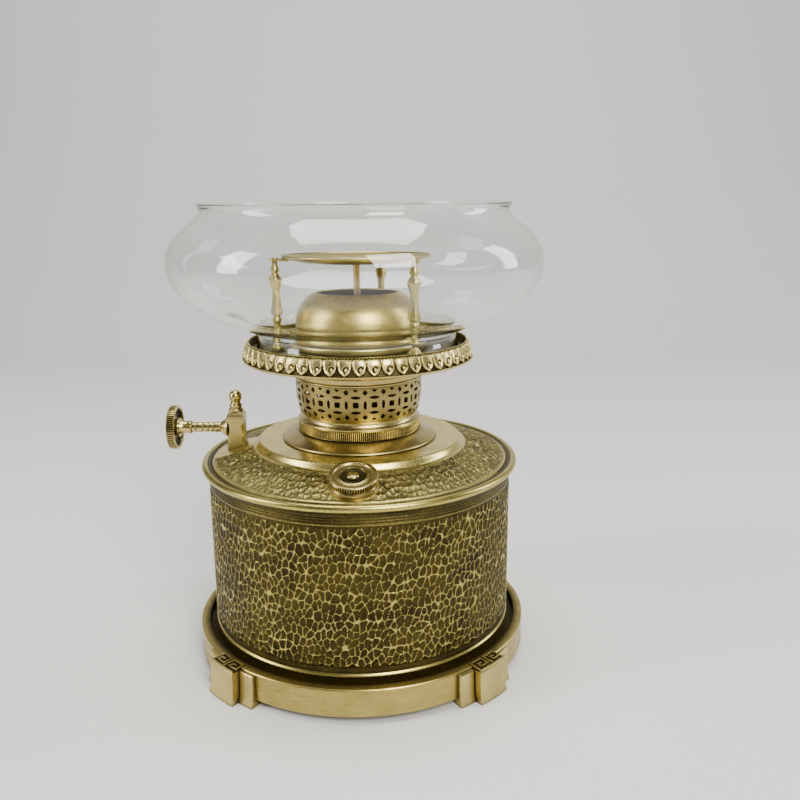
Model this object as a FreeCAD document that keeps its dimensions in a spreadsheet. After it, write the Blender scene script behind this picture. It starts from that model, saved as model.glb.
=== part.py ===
import FreeCAD, Part
import math
import os
import re
from FreeCAD import Placement, Rotation, Vector
import Sketcher

# Central-draught oil lamp with a pot rest. Millimetres, +Z up.
# Origin: on the lamp's axis, in the plane the feet stand on. Front is -Y, the hand wheel points to -X.

doc = FreeCAD.newDocument("oil_lamp")

# ---------------------------------------------------------------- sizes
SIZES = [
    # stand
    ("stand_radius", 85.0), ("stand_top", 17.1), ("stand_wall", 3.0), ("skirt_gap", 3.3),
    ("seat_height", 13.0), ("seat_thick", 2.0), ("seat_opening", 62.0), ("seat_recess", 80.5),
    ("foot_reach", 92.8), ("foot_top_reach", 90.4), ("foot_root", 82.3), ("foot_spread", 11.5),
    ("step_spread", 24.0), ("step_reach", 89.0), ("foot_bearing", 45.0),
    # tank
    ("tank_radius", 76.4), ("tank_wall", 1.2), ("panel_radius", 76.8), ("panel_low", 22.7),
    ("panel_high", 90.8), ("bead_radius", 80.0), ("bead_height", 99.9), ("tank_floor", 15.0),
    ("shoulder_radius", 52.0), ("shoulder_height", 109.0), ("crown_radius", 50.3), ("crown_height", 111.4),
    ("neck_hole_radius", 28.05), ("collar_flange", 39.2), ("collar_height", 115.3), ("thread_bore", 26.0),
    ("draft_bore", 11.0), ("draft_wall", 1.0), ("draft_foot", 13.5), ("draft_height", 167.0),
    # filler
    ("filler_offset", 62.3), ("filler_height", 105.55), ("filler_tilt", 16.8), ("filler_depth", 5.0),
    ("filler_bore", 6.0), ("filler_neck_radius", 7.6), ("filler_flange", 10.4), ("cap_radius", 11.35),
    # wick raiser
    ("post_offset", 63.0), ("post_width", 8.6), ("post_foot", 102.4), ("post_height", 121.5),
    ("bevel_height", 124.0), ("shaft_height", 115.5), ("shaft_inner_radius", 1.2), ("shaft_radius", 2.5),
    ("shaft_fit", 0.05), ("wheel_radius", 11.2), ("hub_radius", 5.0),
    ("pinion_root", 1.45), ("pinion_tip", 2.4), ("gear_width", 3.0), ("tooth_pitch", 1.5708),
    ("rack_back", 3.2), ("rack_root", 2.65), ("rack_tip", 1.66), ("rack_low", 60.0), ("rack_high", 116.2),
    ("carrier_height", 57.0), ("carrier_thick", 3.0), ("carrier_radius", 17.5),
    ("wick_bore", 12.3), ("wick_radius", 15.1), ("wick_foot", 24.0), ("wick_height", 165.0),
    # burner
    ("burner_radius", 30.9), ("burner_low", 115.7), ("knurl_top", 121.2), ("cove_top", 125.4),
    ("basket_radius", 31.7), ("basket_top", 143.6), ("basket_windows", 22.0), ("window_size", 2.7),
    ("window_height", 134.0), ("wick_tube_bore", 15.4), ("wick_tube_wall", 1.0), ("wick_tube_low", 85.0),
    ("wick_tube_high", 166.0), ("deck_height", 140.6), ("deck_holes", 12.0),
    # gallery
    ("gallery_low", 143.65), ("gallery_collar_radius", 34.2), ("gallery_floor", 155.5), ("gallery_plate_thick", 1.0),
    ("gallery_plate_radius", 54.6), ("rim_low_radius", 57.3), ("rim_top_radius", 54.9), ("rim_top", 161.2),
    ("seat_ring_radius", 34.2), ("seat_ring_top", 161.3), ("cone_radius", 30.9), ("cone_low", 160.3),
    ("cone_top", 183.6), ("cone_mouth", 20.0), ("pot_post_circle", 40.0), ("pot_post_bearing", 44.0),
    ("plate_radius", 36.5), ("plate_low", 199.8), ("plate_thick", 1.2), ("plate_top", 203.7),
    ("ear_reach", 42.4), ("ear_width", 5.2), ("ear_low", 200.6), ("ear_thick", 1.3),
    ("rod_radius", 1.7), ("spreader_radius", 10.6), ("spreader_disc", 12.0), ("spreader_low", 160.0),
    ("spreader_top", 174.4),
    # globe
    ("globe_radius", 90.9), ("globe_mouth", 75.3), ("globe_top", 227.4), ("globe_foot", 156.55),
    ("fitter_radius", 50.5), ("glass_thick", 2.2),
]
sheet = doc.addObject("Spreadsheet::Sheet", "sizes")
for row, (alias, value) in enumerate(SIZES, 1):
    sheet.set("A%d" % row, alias)
    sheet.set("B%d" % row, "%g" % value)
    sheet.setAlias("B%d" % row, alias)
doc.recompute()
VALUE = dict(SIZES)


def size(term):
    """A number, or the name of a size with an optional offset such as stand_radius-3, as a plain number."""
    if isinstance(term, (int, float)):
        return float(term)
    name, offset = re.fullmatch(r"([a-z_]+)([+-][0-9.]+)?", term).groups()
    return VALUE[name] + float(offset or 0)


def formula(term):
    name, offset = re.fullmatch(r"([a-z_]+)([+-][0-9.]+)?", term).groups()
    return "sizes." + name + ((" %s %s" % (offset[0], offset[1:])) if offset else "")


def bind(obj, prop, term):
    if isinstance(term, str):
        obj.setExpression(prop, formula(term))
    else:
        setattr(obj, prop, term)


def plane(body, role):
    return next(o for o in body.Origin.OriginFeatures if o.Role == role)


def draw(sketch, outline):
    """Closed outline. Each item is (x, y) or (x, y, mx, my): the edge that ends at this point is then an arc through (mx, my)."""
    pts = [(size(p[0]), size(p[1])) for p in outline]
    n = len(pts)
    geos = []
    for i in range(n):
        a, b = pts[i], pts[(i + 1) % n]
        nxt = outline[(i + 1) % n]
        va, vb = Vector(a[0], a[1], 0), Vector(b[0], b[1], 0)
        if len(nxt) == 4:
            geos.append(Part.Arc(va, Vector(size(nxt[2]), size(nxt[3]), 0), vb))
        else:
            geos.append(Part.LineSegment(va, vb))
    sketch.addGeometry(geos, False)
    start, end = [], []
    for i in range(n):
        near = (sketch.getPoint(i, 1) - Vector(pts[i][0], pts[i][1], 0)).Length < 1e-6
        start.append(1 if near else 2)
        end.append(2 if near else 1)
    rules, bound = [], []
    for i in range(n):
        j = (i + 1) % n
        rules.append(Sketcher.Constraint("Coincident", i, end[i], j, start[j]))
    for i in range(n):
        for k, (word, axis) in enumerate((("DistanceX", -2), ("DistanceY", -1))):
            value = pts[i][k]
            if abs(value) < 1e-9:
                rules.append(Sketcher.Constraint("PointOnObject", i, start[i], axis))
            else:
                if isinstance(outline[i][k], str):
                    bound.append((len(rules), formula(outline[i][k])))
                rules.append(Sketcher.Constraint(word, -1, 1, i, start[i], value))
        if isinstance(geos[i], Part.ArcOfCircle):
            if abs(geos[i].Center.x) < 1e-6:
                rules.append(Sketcher.Constraint("PointOnObject", i, 3, -2))
            else:
                rules.append(Sketcher.Constraint("Radius", i, geos[i].Radius))
    sketch.addConstraint(rules)
    for index, text in bound:
        sketch.setExpression("Constraints[%d]" % index, text)


def body_of(label):
    body = doc.addObject("PartDesign::Body", label)
    body.Label = label
    return body


def sketch_on(body, name, role="XZ_Plane"):
    sk = body.newObject("Sketcher::SketchObject", name)
    sk.AttachmentSupport = [(plane(body, role), "")]
    sk.MapMode = "FlatFace"
    return sk


def revolve(body, name, outline, spread=None):
    sk = sketch_on(body, name + "_profile")
    draw(sk, outline)
    rev = body.newObject("PartDesign::Revolution", name + "_turn")
    rev.Profile = sk
    rev.ReferenceAxis = (sk, ["V_Axis"])
    if spread:
        rev.Midplane = True
        rev.setExpression("Angle", formula(spread))
    else:
        rev.Angle = 360
    body.Tip = rev
    return rev


def turned(label, outline):
    body = body_of(label)
    revolve(body, label, outline)
    return body


def cylinder(name, radius, height, base=(0, 0, 0), turn=None):
    c = doc.addObject("Part::Cylinder", name)
    bind(c, "Radius", radius)
    bind(c, "Height", height)
    c.Placement = Placement(Vector(*base), turn or Rotation())
    return c


def block(name, low, high):
    b = doc.addObject("Part::Box", name)
    b.Length, b.Width, b.Height = [high[i] - low[i] for i in range(3)]
    b.Placement = Placement(Vector(*low), Rotation())
    return b


def cut(label, base, *tools):
    tool = tools[0]
    if len(tools) > 1:
        tool = doc.addObject("Part::MultiFuse", label + "_tools")
        tool.Shapes = list(tools)
    c = doc.addObject("Part::Cut", label)
    c.Base, c.Tool = base, tool
    c.Label = label
    return c


def fuse(label, *parts):
    f = doc.addObject("Part::MultiFuse", label)
    f.Shapes = list(parts)
    f.Label = label
    return f


def group(label, parts):
    g = doc.addObject("Part::Compound", label)
    g.Links = list(parts)
    g.Label = label
    return g


def polar(radius, bearing):
    """Bearing in degrees from the front (-Y), positive towards +X."""
    a = math.radians(bearing)
    return radius * math.sin(a), -radius * math.cos(a)


def dome(x, y, top, bulge):
    """Last item of an outline whose arc runs from (x, y) over a ball centred on the axis to its top."""
    radius = (x * x + (top - y) ** 2) / (2 * (top - y))
    middle = top - radius
    return (0, top, radius * math.sin(bulge), middle + radius * math.cos(bulge))


NODES = []


def keep(obj):
    NODES.append(obj)
    return obj


# ---------------------------------------------------------------- stand
keep(turned("stand_ring", [
    ("stand_radius-3", "skirt_gap"), ("stand_radius", "skirt_gap"), ("stand_radius", "stand_top-0.5"),
    ("stand_radius-0.5", "stand_top"), ("seat_recess", "stand_top"), ("seat_recess", "seat_height"),
    ("seat_opening", "seat_height"), ("seat_opening", "seat_height-2"), ("stand_radius-3", "seat_height-2"),
]))

feet = []
for k in range(4):
    foot = body_of("foot_%d" % (k + 1))
    revolve(foot, "foot_pad_%d" % (k + 1), [
        ("foot_root", 0), ("foot_reach", 0), ("foot_reach", 1.8), ("foot_reach-1.3", 4.6),
        ("foot_top_reach+0.5", 9.0), ("foot_top_reach+0.3", 15.0), ("foot_top_reach", "stand_top"),
        ("stand_radius", "stand_top"), ("stand_radius", "skirt_gap"), ("foot_root", "skirt_gap"),
    ], "foot_spread")
    revolve(foot, "foot_step_%d" % (k + 1), [
        ("foot_root", 0), ("step_reach", 0), ("step_reach", 1.8), ("step_reach-1.8", 5.0),
        ("step_reach-2.5", 9.0), ("step_reach-2.7", "stand_top-0.6"), ("stand_radius", "stand_top-0.6"),
        ("stand_radius", "skirt_gap"), ("foot_root", "skirt_gap"),
    ], "step_spread")
    foot.Placement = Placement(Vector(), Rotation(Vector(0, 0, 1), VALUE["foot_bearing"] + 90 * k))
    feet.append(foot)
keep(group("stand_feet", feet))

# ---------------------------------------------------------------- tank
keep(turned("tank_side", [
    ("tank_radius-1.2", "seat_height"), ("tank_radius", "seat_height"), ("tank_radius", 18.2),
    ("tank_radius", 19.6, "tank_radius+0.7", 18.9), ("tank_radius", "panel_low-0.7"),
    ("panel_radius", "panel_low"), ("panel_radius", "panel_high"), ("tank_radius", "panel_high+0.6"),
    ("tank_radius", "bead_height-3.3"), ("tank_radius+1", "bead_height-2.3"),
    ("bead_radius-1.4", "bead_height-1.8"), ("bead_radius-1.4", "bead_height+1.8", "bead_radius", "bead_height"),
    ("tank_radius+0.6", "bead_height+2"), ("tank_radius-0.2", "bead_height+1.1"),
    ("tank_radius-1.2", "bead_height+1.1"),
]))
keep(turned("tank_bottom", [
    (12.05, "tank_floor"), ("tank_radius-1.25", "tank_floor"), ("tank_radius-1.25", "tank_floor+6"),
    ("tank_radius-2.25", "tank_floor+6"), ("tank_radius-2.25", "tank_floor+1.2"), (13.4, "tank_floor+1.2"),
    (13.4, "tank_floor+5"), (12.05, "tank_floor+5"),
]))

tank_shell = turned("tank_top_shell", [
    ("neck_hole_radius", "crown_height-1.2"), ("crown_radius-0.3", "crown_height-1.2"),
    ("shoulder_radius-1.1", "shoulder_height-0.9"), ("shoulder_radius+0.5", "shoulder_height-2.1"),
    ("tank_radius-2.4", 100.6, 63.4, 103.9), ("tank_radius-2.4", 98.0), ("tank_radius-1.3", 98.0),
    ("tank_radius-1.3", 101.0), ("tank_radius-2.1", 101.6),
    ("shoulder_radius+1.2", "shoulder_height-0.8", 63.75, 105.1),
    ("shoulder_radius+0.2", "shoulder_height-0.2"), ("shoulder_radius-0.5", "shoulder_height+0.7"),
    ("crown_radius+0.5", "crown_height-0.4"), ("crown_radius", "crown_height"), ("neck_hole_radius", "crown_height"),
])
tilt = Rotation(Vector(1, 0, 0), VALUE["filler_tilt"])
filler_axis = tilt.multVec(Vector(0, 0, 1))
filler_base = Vector(0, -VALUE["filler_offset"], VALUE["filler_height"]) - filler_axis * VALUE["filler_depth"]
neck_cut = cylinder("neck_cut", "filler_neck_radius", 12, tuple(filler_base), tilt)
half = VALUE["post_width"] / 2
px = -VALUE["post_offset"]
post_cut = block("post_cut", (px - half, -half, 95), (px + half, half, 112))
keep(cut("tank_top", tank_shell, neck_cut, post_cut))

keep(turned("burner_collar", [
    ("thread_bore", "collar_height-10.8"), ("neck_hole_radius-0.15", "collar_height-10.8"),
    ("neck_hole_radius-0.15", "crown_height"), ("collar_flange", "crown_height"),
    ("collar_flange", "crown_height+0.5"), ("collar_flange-0.7", "crown_height+0.9"),
    ("burner_radius+0.3", "collar_height"), ("thread_bore", "collar_height"),
]))
keep(turned("draft_tube", [
    ("draft_bore", "draft_foot"), ("draft_bore+1", "draft_foot"), ("draft_bore+1", "draft_height"),
    ("draft_bore", "draft_height"),
]))

# ---------------------------------------------------------------- filler
filler_place = Placement(filler_base, tilt)
neck = keep(turned("filler_neck", [
    ("filler_bore", 1.0), ("filler_neck_radius", 1.0), ("filler_neck_radius", 4.6), ("filler_flange", 4.6),
    ("filler_flange", 6.6), ("filler_flange-0.4", 7.1), ("filler_neck_radius", 7.1),
    ("filler_neck_radius", 8.4), ("filler_bore", 8.4),
]))
gasket = keep(turned("cap_gasket", [
    ("filler_bore+0.1", 8.45), ("filler_neck_radius-0.2", 8.45), ("filler_neck_radius-0.2", 8.95),
    ("filler_bore+0.1", 8.95),
]))
cap = keep(turned("filler_cap", [
    (0, 3.4), ("filler_bore-0.7", 3.4), ("filler_bore-0.3", 3.8), ("filler_bore-0.3", 9.0),
    ("filler_neck_radius+0.3", 9.0), ("filler_neck_radius+0.3", 7.25), ("cap_radius-0.4", 7.25),
    ("cap_radius", 7.6), ("cap_radius", 10.2), ("cap_radius-0.35", 10.5), ("cap_radius-1.45", 10.5),
    ("filler_bore", 9.9, 8.4, 9.95), ("filler_bore", 9.5), (0, 9.5),
]))
button = keep(turned("cap_button", [
    (0, 9.5), (2.6, 9.5), (2.6, 10.0), dome(2.6, 10.0, 10.9, 0.3),
]))
for part in (neck, gasket, cap, button):
    part.Placement = filler_place

# ---------------------------------------------------------------- wick raiser
post_body = body_of("post_block")
sk = sketch_on(post_body, "post_section", "XY_Plane")
w, c = half, 0.9
corners = [(-w + c, -w), (w - c, -w), (w, -w + c), (w, w - c), (w - c, w), (-w + c, w), (-w, w - c), (-w, -w + c)]
sk.addGeometry([Part.LineSegment(Vector(a[0], a[1], 0), Vector(b[0], b[1], 0))
                for a, b in zip(corners, corners[1:] + corners[:1])], False)
sk.addConstraint([Sketcher.Constraint("Coincident", i, 2, (i + 1) % 8, 1) for i in range(8)])
sk.addConstraint([Sketcher.Constraint("Horizontal", 0), Sketcher.Constraint("Vertical", 2),
                  Sketcher.Constraint("Horizontal", 4), Sketcher.Constraint("Vertical", 6),
                  Sketcher.Constraint("Symmetric", 0, 1, 4, 1, -1, 1),
                  Sketcher.Constraint("Symmetric", 2, 1, 6, 1, -1, 1)])
across = sk.addConstraint(Sketcher.Constraint("DistanceX", 6, 1, 2, 1, VALUE["post_width"]))
sk.setExpression("Constraints[%d]" % across, "sizes.post_width")
pad = post_body.newObject("PartDesign::Pad", "post_pad")
pad.Profile = sk
pad.setExpression("Length", "sizes.post_height - sizes.post_foot")
post_body.Placement = Placement(Vector(px, 0, VALUE["post_foot"]), Rotation())
bevel = doc.addObject("Part::Wedge", "post_bevel")
rise = VALUE["bevel_height"] - VALUE["post_height"]
bevel.Xmin, bevel.Xmax, bevel.Zmin, bevel.Zmax = -half, half, -half, half
bevel.Ymin, bevel.Ymax = 0, rise
bevel.X2min, bevel.X2max, bevel.Z2min, bevel.Z2max = -2.7, 2.7, -2.7, 2.7
bevel.Placement = Placement(Vector(px, 0, VALUE["post_height"]), Rotation(Vector(1, 0, 0), 90))
post_solid = fuse("post_solid", post_body, bevel)
rack_way = block("rack_way", (px - 2.9, -2.8, 100), (px + 2.9, 3.45, 122.4))
shaft_way = cylinder("shaft_way", "shaft_inner_radius+0.05", 14, (px + 4.0, 0, VALUE["shaft_height"]),
                     Rotation(Vector(0, 1, 0), -90))
keep(cut("rack_post", post_solid, rack_way, shaft_way))

finial = keep(turned("post_finial", [
    (0, 0), (3.4, 0), (3.7, 0.4), (3.7, 1.2), (3.1, 1.6), (2.8, 1.95), (3.15, 2.4), (3.15, 3.4), (2.75, 3.9),
    (2.5, 4.4), (2.5, 5.44), dome(2.5, 5.44, 10.9, 1.4),
]))
finial.Placement = Placement(Vector(px, 0, VALUE["bevel_height"]), Rotation())

outward = Rotation(Vector(0, 1, 0), -90)  # local +Z runs to -X, away from the lamp
gland = keep(turned("shaft_gland", [
    (2.3, 4.3), (4.6, 4.3), (4.6, 5.5), (2.6, 8.0), ("shaft_inner_radius+0.05", 8.0),
    ("shaft_inner_radius+0.05", 7.2), (2.3, 7.2),
]))
packing = keep(turned("gland_packing", [
    ("shaft_inner_radius+0.05", 4.4), (2.25, 4.4), (2.25, 7.1), ("shaft_inner_radius+0.05", 7.1),
]))
for part in (gland, packing):
    part.Placement = Placement(Vector(px, 0, VALUE["shaft_height"]), outward)

shaft = keep(turned("knob_shaft", [
    (0, 1.0), ("shaft_inner_radius", 1.0), ("shaft_inner_radius", 13.4), ("shaft_radius", 13.4),
    ("shaft_radius", 16.2), ("shaft_radius-0.4", 16.45), ("shaft_radius-0.4", 16.75), ("shaft_radius", 17.0),
    ("shaft_radius", 18.8), ("shaft_radius-0.4", 19.05), ("shaft_radius-0.4", 19.35), ("shaft_radius", 19.6),
    ("shaft_radius", 21.8), ("shaft_radius-0.4", 22.05), ("shaft_radius-0.4", 22.35), ("shaft_radius", 22.6),
    ("shaft_radius", 25.2), ("shaft_radius-0.4", 25.45), ("shaft_radius-0.4", 25.75), ("shaft_radius", 26.0),
    ("shaft_radius", 28.0), (1.8, 28.0), (1.8, 38.7), (0, 38.7),
]))
hub = keep(turned("knob_hub", [
    (1.8, 28.0), ("hub_radius-1.8", 28.0), ("hub_radius-1.6", 28.3), ("hub_radius-1.65", 29.2),
    ("hub_radius-1.9", 30.6), ("hub_radius-1.2", 33.8), ("hub_radius-0.3", 34.0), ("hub_radius-0.1", 34.3),
    ("hub_radius-0.1", 35.3), ("hub_radius-0.7", 35.7), ("hub_radius-0.8", 36.4), (1.8, 36.4),
]))
wheel = keep(turned("knob_wheel", [
    (1.8, 36.4), ("hub_radius-0.4", 36.4), (8.2, 36.6), ("wheel_radius-1.8", 35.8), ("wheel_radius-1.4", 34.9),
    ("wheel_radius-0.9", 34.7), ("wheel_radius-0.3", 34.7), ("wheel_radius", 35.0), ("wheel_radius", 38.5),
    ("wheel_radius-0.3", 38.8), ("wheel_radius-1.2", 38.8), (6.0, 38.0), (1.8, 38.0),
]))
for part in (shaft, hub, wheel):
    part.Placement = Placement(Vector(px + 5.0, 0, VALUE["shaft_height"]), outward)

# Pinion: eight teeth on the shaft, in mesh with the rack at its +Y side.
pinion = keep(body_of("pinion"))
sk = sketch_on(pinion, "pinion_blank", "XY_Plane")
sk.addGeometry(Part.Circle(Vector(), Vector(0, 0, 1), VALUE["pinion_root"]), False)
sk.addConstraint([Sketcher.Constraint("Coincident", 0, 3, -1, 1)])
number = sk.addConstraint(Sketcher.Constraint("Radius", 0, VALUE["pinion_root"]))
sk.setExpression("Constraints[%d]" % number, "sizes.pinion_root")
blank = pinion.newObject("PartDesign::Pad", "pinion_core")
blank.Profile = sk
blank.setExpression("Length", "sizes.gear_width")
sk = sketch_on(pinion, "tooth_section", "XY_Plane")
root, tip = VALUE["pinion_root"] - 0.25, VALUE["pinion_tip"]
tooth_pts = [(root, -0.42), (2.0, -0.27), (tip, -0.10), (tip, 0.10), (2.0, 0.27), (root, 0.42)]
sk.addGeometry([Part.LineSegment(Vector(a[0], a[1], 0), Vector(b[0], b[1], 0))
                for a, b in zip(tooth_pts, tooth_pts[1:] + tooth_pts[:1])], False)
sk.addConstraint([Sketcher.Constraint("Coincident", i, 2, (i + 1) % 6, 1) for i in range(6)])
tooth = pinion.newObject("PartDesign::Pad", "pinion_tooth")
tooth.Profile = sk
tooth.setExpression("Length", "sizes.gear_width")
ring = pinion.newObject("PartDesign::PolarPattern", "pinion_teeth")
ring.Originals = [tooth]
ring.Axis = (plane(pinion, "Z_Axis"), [""])
ring.Angle = 360
ring.Occurrences = 8
pinion.Tip = ring
sk = sketch_on(pinion, "pinion_bore", "XY_Plane")
sk.addGeometry(Part.Circle(Vector(), Vector(0, 0, 1), VALUE["shaft_inner_radius"]), False)
sk.addConstraint([Sketcher.Constraint("Coincident", 0, 3, -1, 1)])
number = sk.addConstraint(Sketcher.Constraint("Radius", 0, VALUE["shaft_inner_radius"]))
sk.setExpression("Constraints[%d]" % number, "sizes.shaft_inner_radius")
bore = pinion.newObject("PartDesign::Pocket", "pinion_bore_cut")
bore.Profile = sk
bore.Type = 1
bore.Midplane = True
pinion.Tip = bore
# local X (a tooth) turned to +Y, local Z to +X
pinion.Placement = Placement(Vector(px - VALUE["gear_width"] / 2, 0, VALUE["shaft_height"]),
                             Rotation(Vector(0, 1, 0), Vector(0, 0, 1), Vector(1, 0, 0), "ZXY"))

rack = keep(body_of("rack"))
sk = sketch_on(rack, "rack_section", "YZ_Plane")
pitch, mid = VALUE["tooth_pitch"], VALUE["shaft_height"]
tip, root, back = VALUE["rack_tip"], VALUE["rack_root"], VALUE["rack_back"]
line = [(back, VALUE["rack_low"]), (back, VALUE["rack_high"]), (root, VALUE["rack_high"])]
# gaps lie where the pinion's teeth are: the first at the shaft's height
k = 0
spots = []
while mid - pitch / 2 - k * pitch > 106.5:
    spots.append(mid - pitch / 2 - k * pitch)
    k += 1
for z in spots:
    line += [(root, z + 0.46), (tip, z + 0.14), (tip, z - 0.14), (root, z - 0.46)]
line += [(root, 105.6), (1.7, 104.8), (1.7, VALUE["rack_low"])]
sk.addGeometry([Part.LineSegment(Vector(a[0], a[1], 0), Vector(b[0], b[1], 0))
                for a, b in zip(line, line[1:] + line[:1])], False)
sk.addConstraint([Sketcher.Constraint("Coincident", i, 2, (i + 1) % len(line), 1) for i in range(len(line))])
pad = rack.newObject("PartDesign::Pad", "rack_pad")
pad.Profile = sk
pad.Midplane = True
pad.setExpression("Length", "sizes.gear_width")
rack.Placement = Placement(Vector(px, 0, 0), Rotation())

arm_block = block("arm_block", (px - 1.5, 0.4, VALUE["carrier_height"]),
                  (-10, 4.2, VALUE["carrier_height"] + VALUE["carrier_thick"]))
arm_cut = cylinder("arm_cut", "carrier_radius", 20, (0, 0, 45))
keep(cut("carrier_arm", arm_block, arm_cut))
keep(turned("carrier_ring", [
    ("wick_radius", "carrier_height-0.5"), ("carrier_radius", "carrier_height-0.5"),
    ("carrier_radius", "carrier_height+3.5"), ("wick_radius", "carrier_height+3.5"),
]))
keep(turned("wick", [
    ("wick_bore", "wick_foot"), ("wick_radius", "wick_foot"), ("wick_radius", "wick_height"),
    ("wick_bore", "wick_height"),
]))

# ---------------------------------------------------------------- burner
keep(turned("burner_gasket", [
    ("thread_bore+0.4", "collar_height+0.05"), ("thread_bore+3.4", "collar_height+0.05"),
    ("thread_bore+3.4", "collar_height+0.75"), ("thread_bore+0.4", "collar_height+0.75"),
]))
keep(turned("burner_ring", [
    ("wick_tube_bore+1", 116.6), ("thread_bore-1.8", 116.6), ("thread_bore-1.8", 106.0),
    ("thread_bore-0.3", 106.0), ("thread_bore-0.3", 116.1), ("burner_radius-1.2", 116.1),
    ("burner_radius-1.2", "burner_low"), ("burner_radius-0.2", "burner_low"), ("burner_radius", "burner_low+0.2"),
    ("burner_radius", "knurl_top"), ("burner_radius-0.4", "knurl_top+0.7"), ("burner_radius-1", "knurl_top+1"),
    ("burner_radius-1.1", "cove_top", "burner_radius-1.7", 123.8), ("burner_radius-2.7", "cove_top"),
    ("burner_radius-2.7", 117.7), ("wick_tube_bore+1", 117.7),
]))
basket_shell = turned("basket_shell", [
    ("basket_radius-2.8", "cove_top"), ("basket_radius-1.9", "cove_top"), ("basket_radius-0.8", 129.0),
    ("basket_radius-0.2", 134.0), ("basket_radius", 139.0), ("basket_radius-0.1", 142.3),
    ("basket_radius+0.7", 142.8), ("basket_radius+0.7", "basket_top"), ("basket_radius-0.9", "basket_top"),
    ("basket_radius-0.9", 139.0), ("basket_radius-1.1", 134.0), ("basket_radius-1.7", 129.0),
])
windows = []
count = int(VALUE["basket_windows"])
for k in range(count):
    for kind in (0, 1):
        wide, tall = ((2.7, 2.7), (1.5, 4.0))[kind]
        b = doc.addObject("Part::Box", "window_%d_%d" % (k, kind))
        b.Length, b.Width, b.Height = 6, wide, tall
        turn = Rotation(Vector(0, 0, 1), (k + 0.5 * kind) * 360.0 / count)
        b.Placement = Placement(turn.multVec(Vector(28.0, -wide / 2, VALUE["window_height"] - tall / 2)), turn)
        windows.append(b)
keep(cut("burner_basket", basket_shell, *windows))

deck_disc = turned("deck_disc", [
    ("wick_tube_bore+1", "deck_height"), ("basket_radius-1", "deck_height"), ("basket_radius-1", "deck_height+0.8"),
    ("wick_tube_bore+2", "deck_height+0.8"), ("wick_tube_bore+2", "deck_height+3"),
    ("wick_tube_bore+1", "deck_height+3"),
])
holes = []
for k in range(int(VALUE["deck_holes"])):
    x, y = polar(24.0, 360.0 * k / VALUE["deck_holes"])
    holes.append(cylinder("deck_hole_%d" % k, 2.2, 4, (x, y, VALUE["deck_height"] - 1)))
keep(cut("burner_deck", deck_disc, *holes))
keep(turned("wick_tube", [
    ("wick_tube_bore", "wick_tube_low"), ("wick_tube_bore+1", "wick_tube_low"),
    ("wick_tube_bore+1", "wick_tube_high"), ("wick_tube_bore", "wick_tube_high"),
]))

# ---------------------------------------------------------------- gallery
keep(turned("gallery_collar", [
    (30.9, "gallery_low"), (32.5, "gallery_low"), (33.2, "gallery_low+0.9"), (33.2, "gallery_low+2.8"),
    ("gallery_collar_radius", "gallery_low+4"), ("gallery_collar_radius", "gallery_low+5.4"),
    (33.2, "gallery_low+6.6"), (33.0, "gallery_low+7.6"), (33.0, "gallery_floor"), (31.6, "gallery_floor"),
    (31.6, "gallery_low+1.4"), (30.9, "gallery_low+1.4"),
]))
plate_disc = turned("gallery_disc", [
    (30.0, "gallery_floor"), ("gallery_plate_radius", "gallery_floor"),
    ("gallery_plate_radius", "gallery_floor+1"), (30.0, "gallery_floor+1"),
])
bearings = [VALUE["pot_post_bearing"] + 120 * k for k in range(3)]
spots = [polar(VALUE["pot_post_circle"], b) for b in bearings]
tails = [cylinder("tail_hole_%d" % (k + 1), 1.3, 3, (x, y, 154.5)) for k, (x, y) in enumerate(spots)]
keep(cut("gallery_plate", plate_disc, *tails))
keep(turned("gallery_rim", [
    ("rim_low_radius-1.7", 152.4), ("rim_low_radius-0.8", 151.9),
    ("rim_low_radius-0.4", 153.4, "rim_low_radius", 152.6), ("rim_low_radius-0.7", 155.2),
    ("rim_low_radius-1.3", 158.0), ("rim_top_radius+0.4", 160.4), ("rim_top_radius", "rim_top"),
    ("rim_top_radius-0.8", "rim_top"), ("rim_top_radius-0.5", 160.0), (54.9, 157.4), ("gallery_plate_radius", 156.5),
    ("gallery_plate_radius", 155.4), ("rim_low_radius-1.7", 153.6),
]))
keep(turned("cone_seat", [
    (29.0, "gallery_floor+1"), ("seat_ring_radius-0.6", "gallery_floor+1"), ("seat_ring_radius-0.6", 158.0),
    ("seat_ring_radius", 158.5), ("seat_ring_radius", "seat_ring_top-0.6"),
    ("seat_ring_radius-0.6", "seat_ring_top"), (32.4, "seat_ring_top"), (31.5, "cone_low"), (29.0, "cone_low"),
]))
keep(turned("draught_cone", [
    ("cone_radius-1.8", "cone_low"), ("cone_radius-1", "cone_low"), ("cone_radius-0.2", 162.4),
    ("cone_radius", 164.6), ("cone_radius", 168.0), ("cone_radius-1.7", 175.3, "cone_radius-0.5", 172.2),
    (25.2, 180.3, 27.6, 178.0), ("cone_mouth+1.9", "cone_top-0.3"), ("cone_mouth+0.5", "cone_top"),
    ("cone_mouth", "cone_top-0.4"), ("cone_mouth+0.4", "cone_top-1.2"), (24.6, 179.7),
    ("cone_radius-2.5", 174.9, 26.9, 177.5), ("cone_radius-0.8", 168.0, "cone_radius-1.25", 172.0),
    ("cone_radius-0.8", 164.6), ("cone_radius-1", 162.6),
]))

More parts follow.
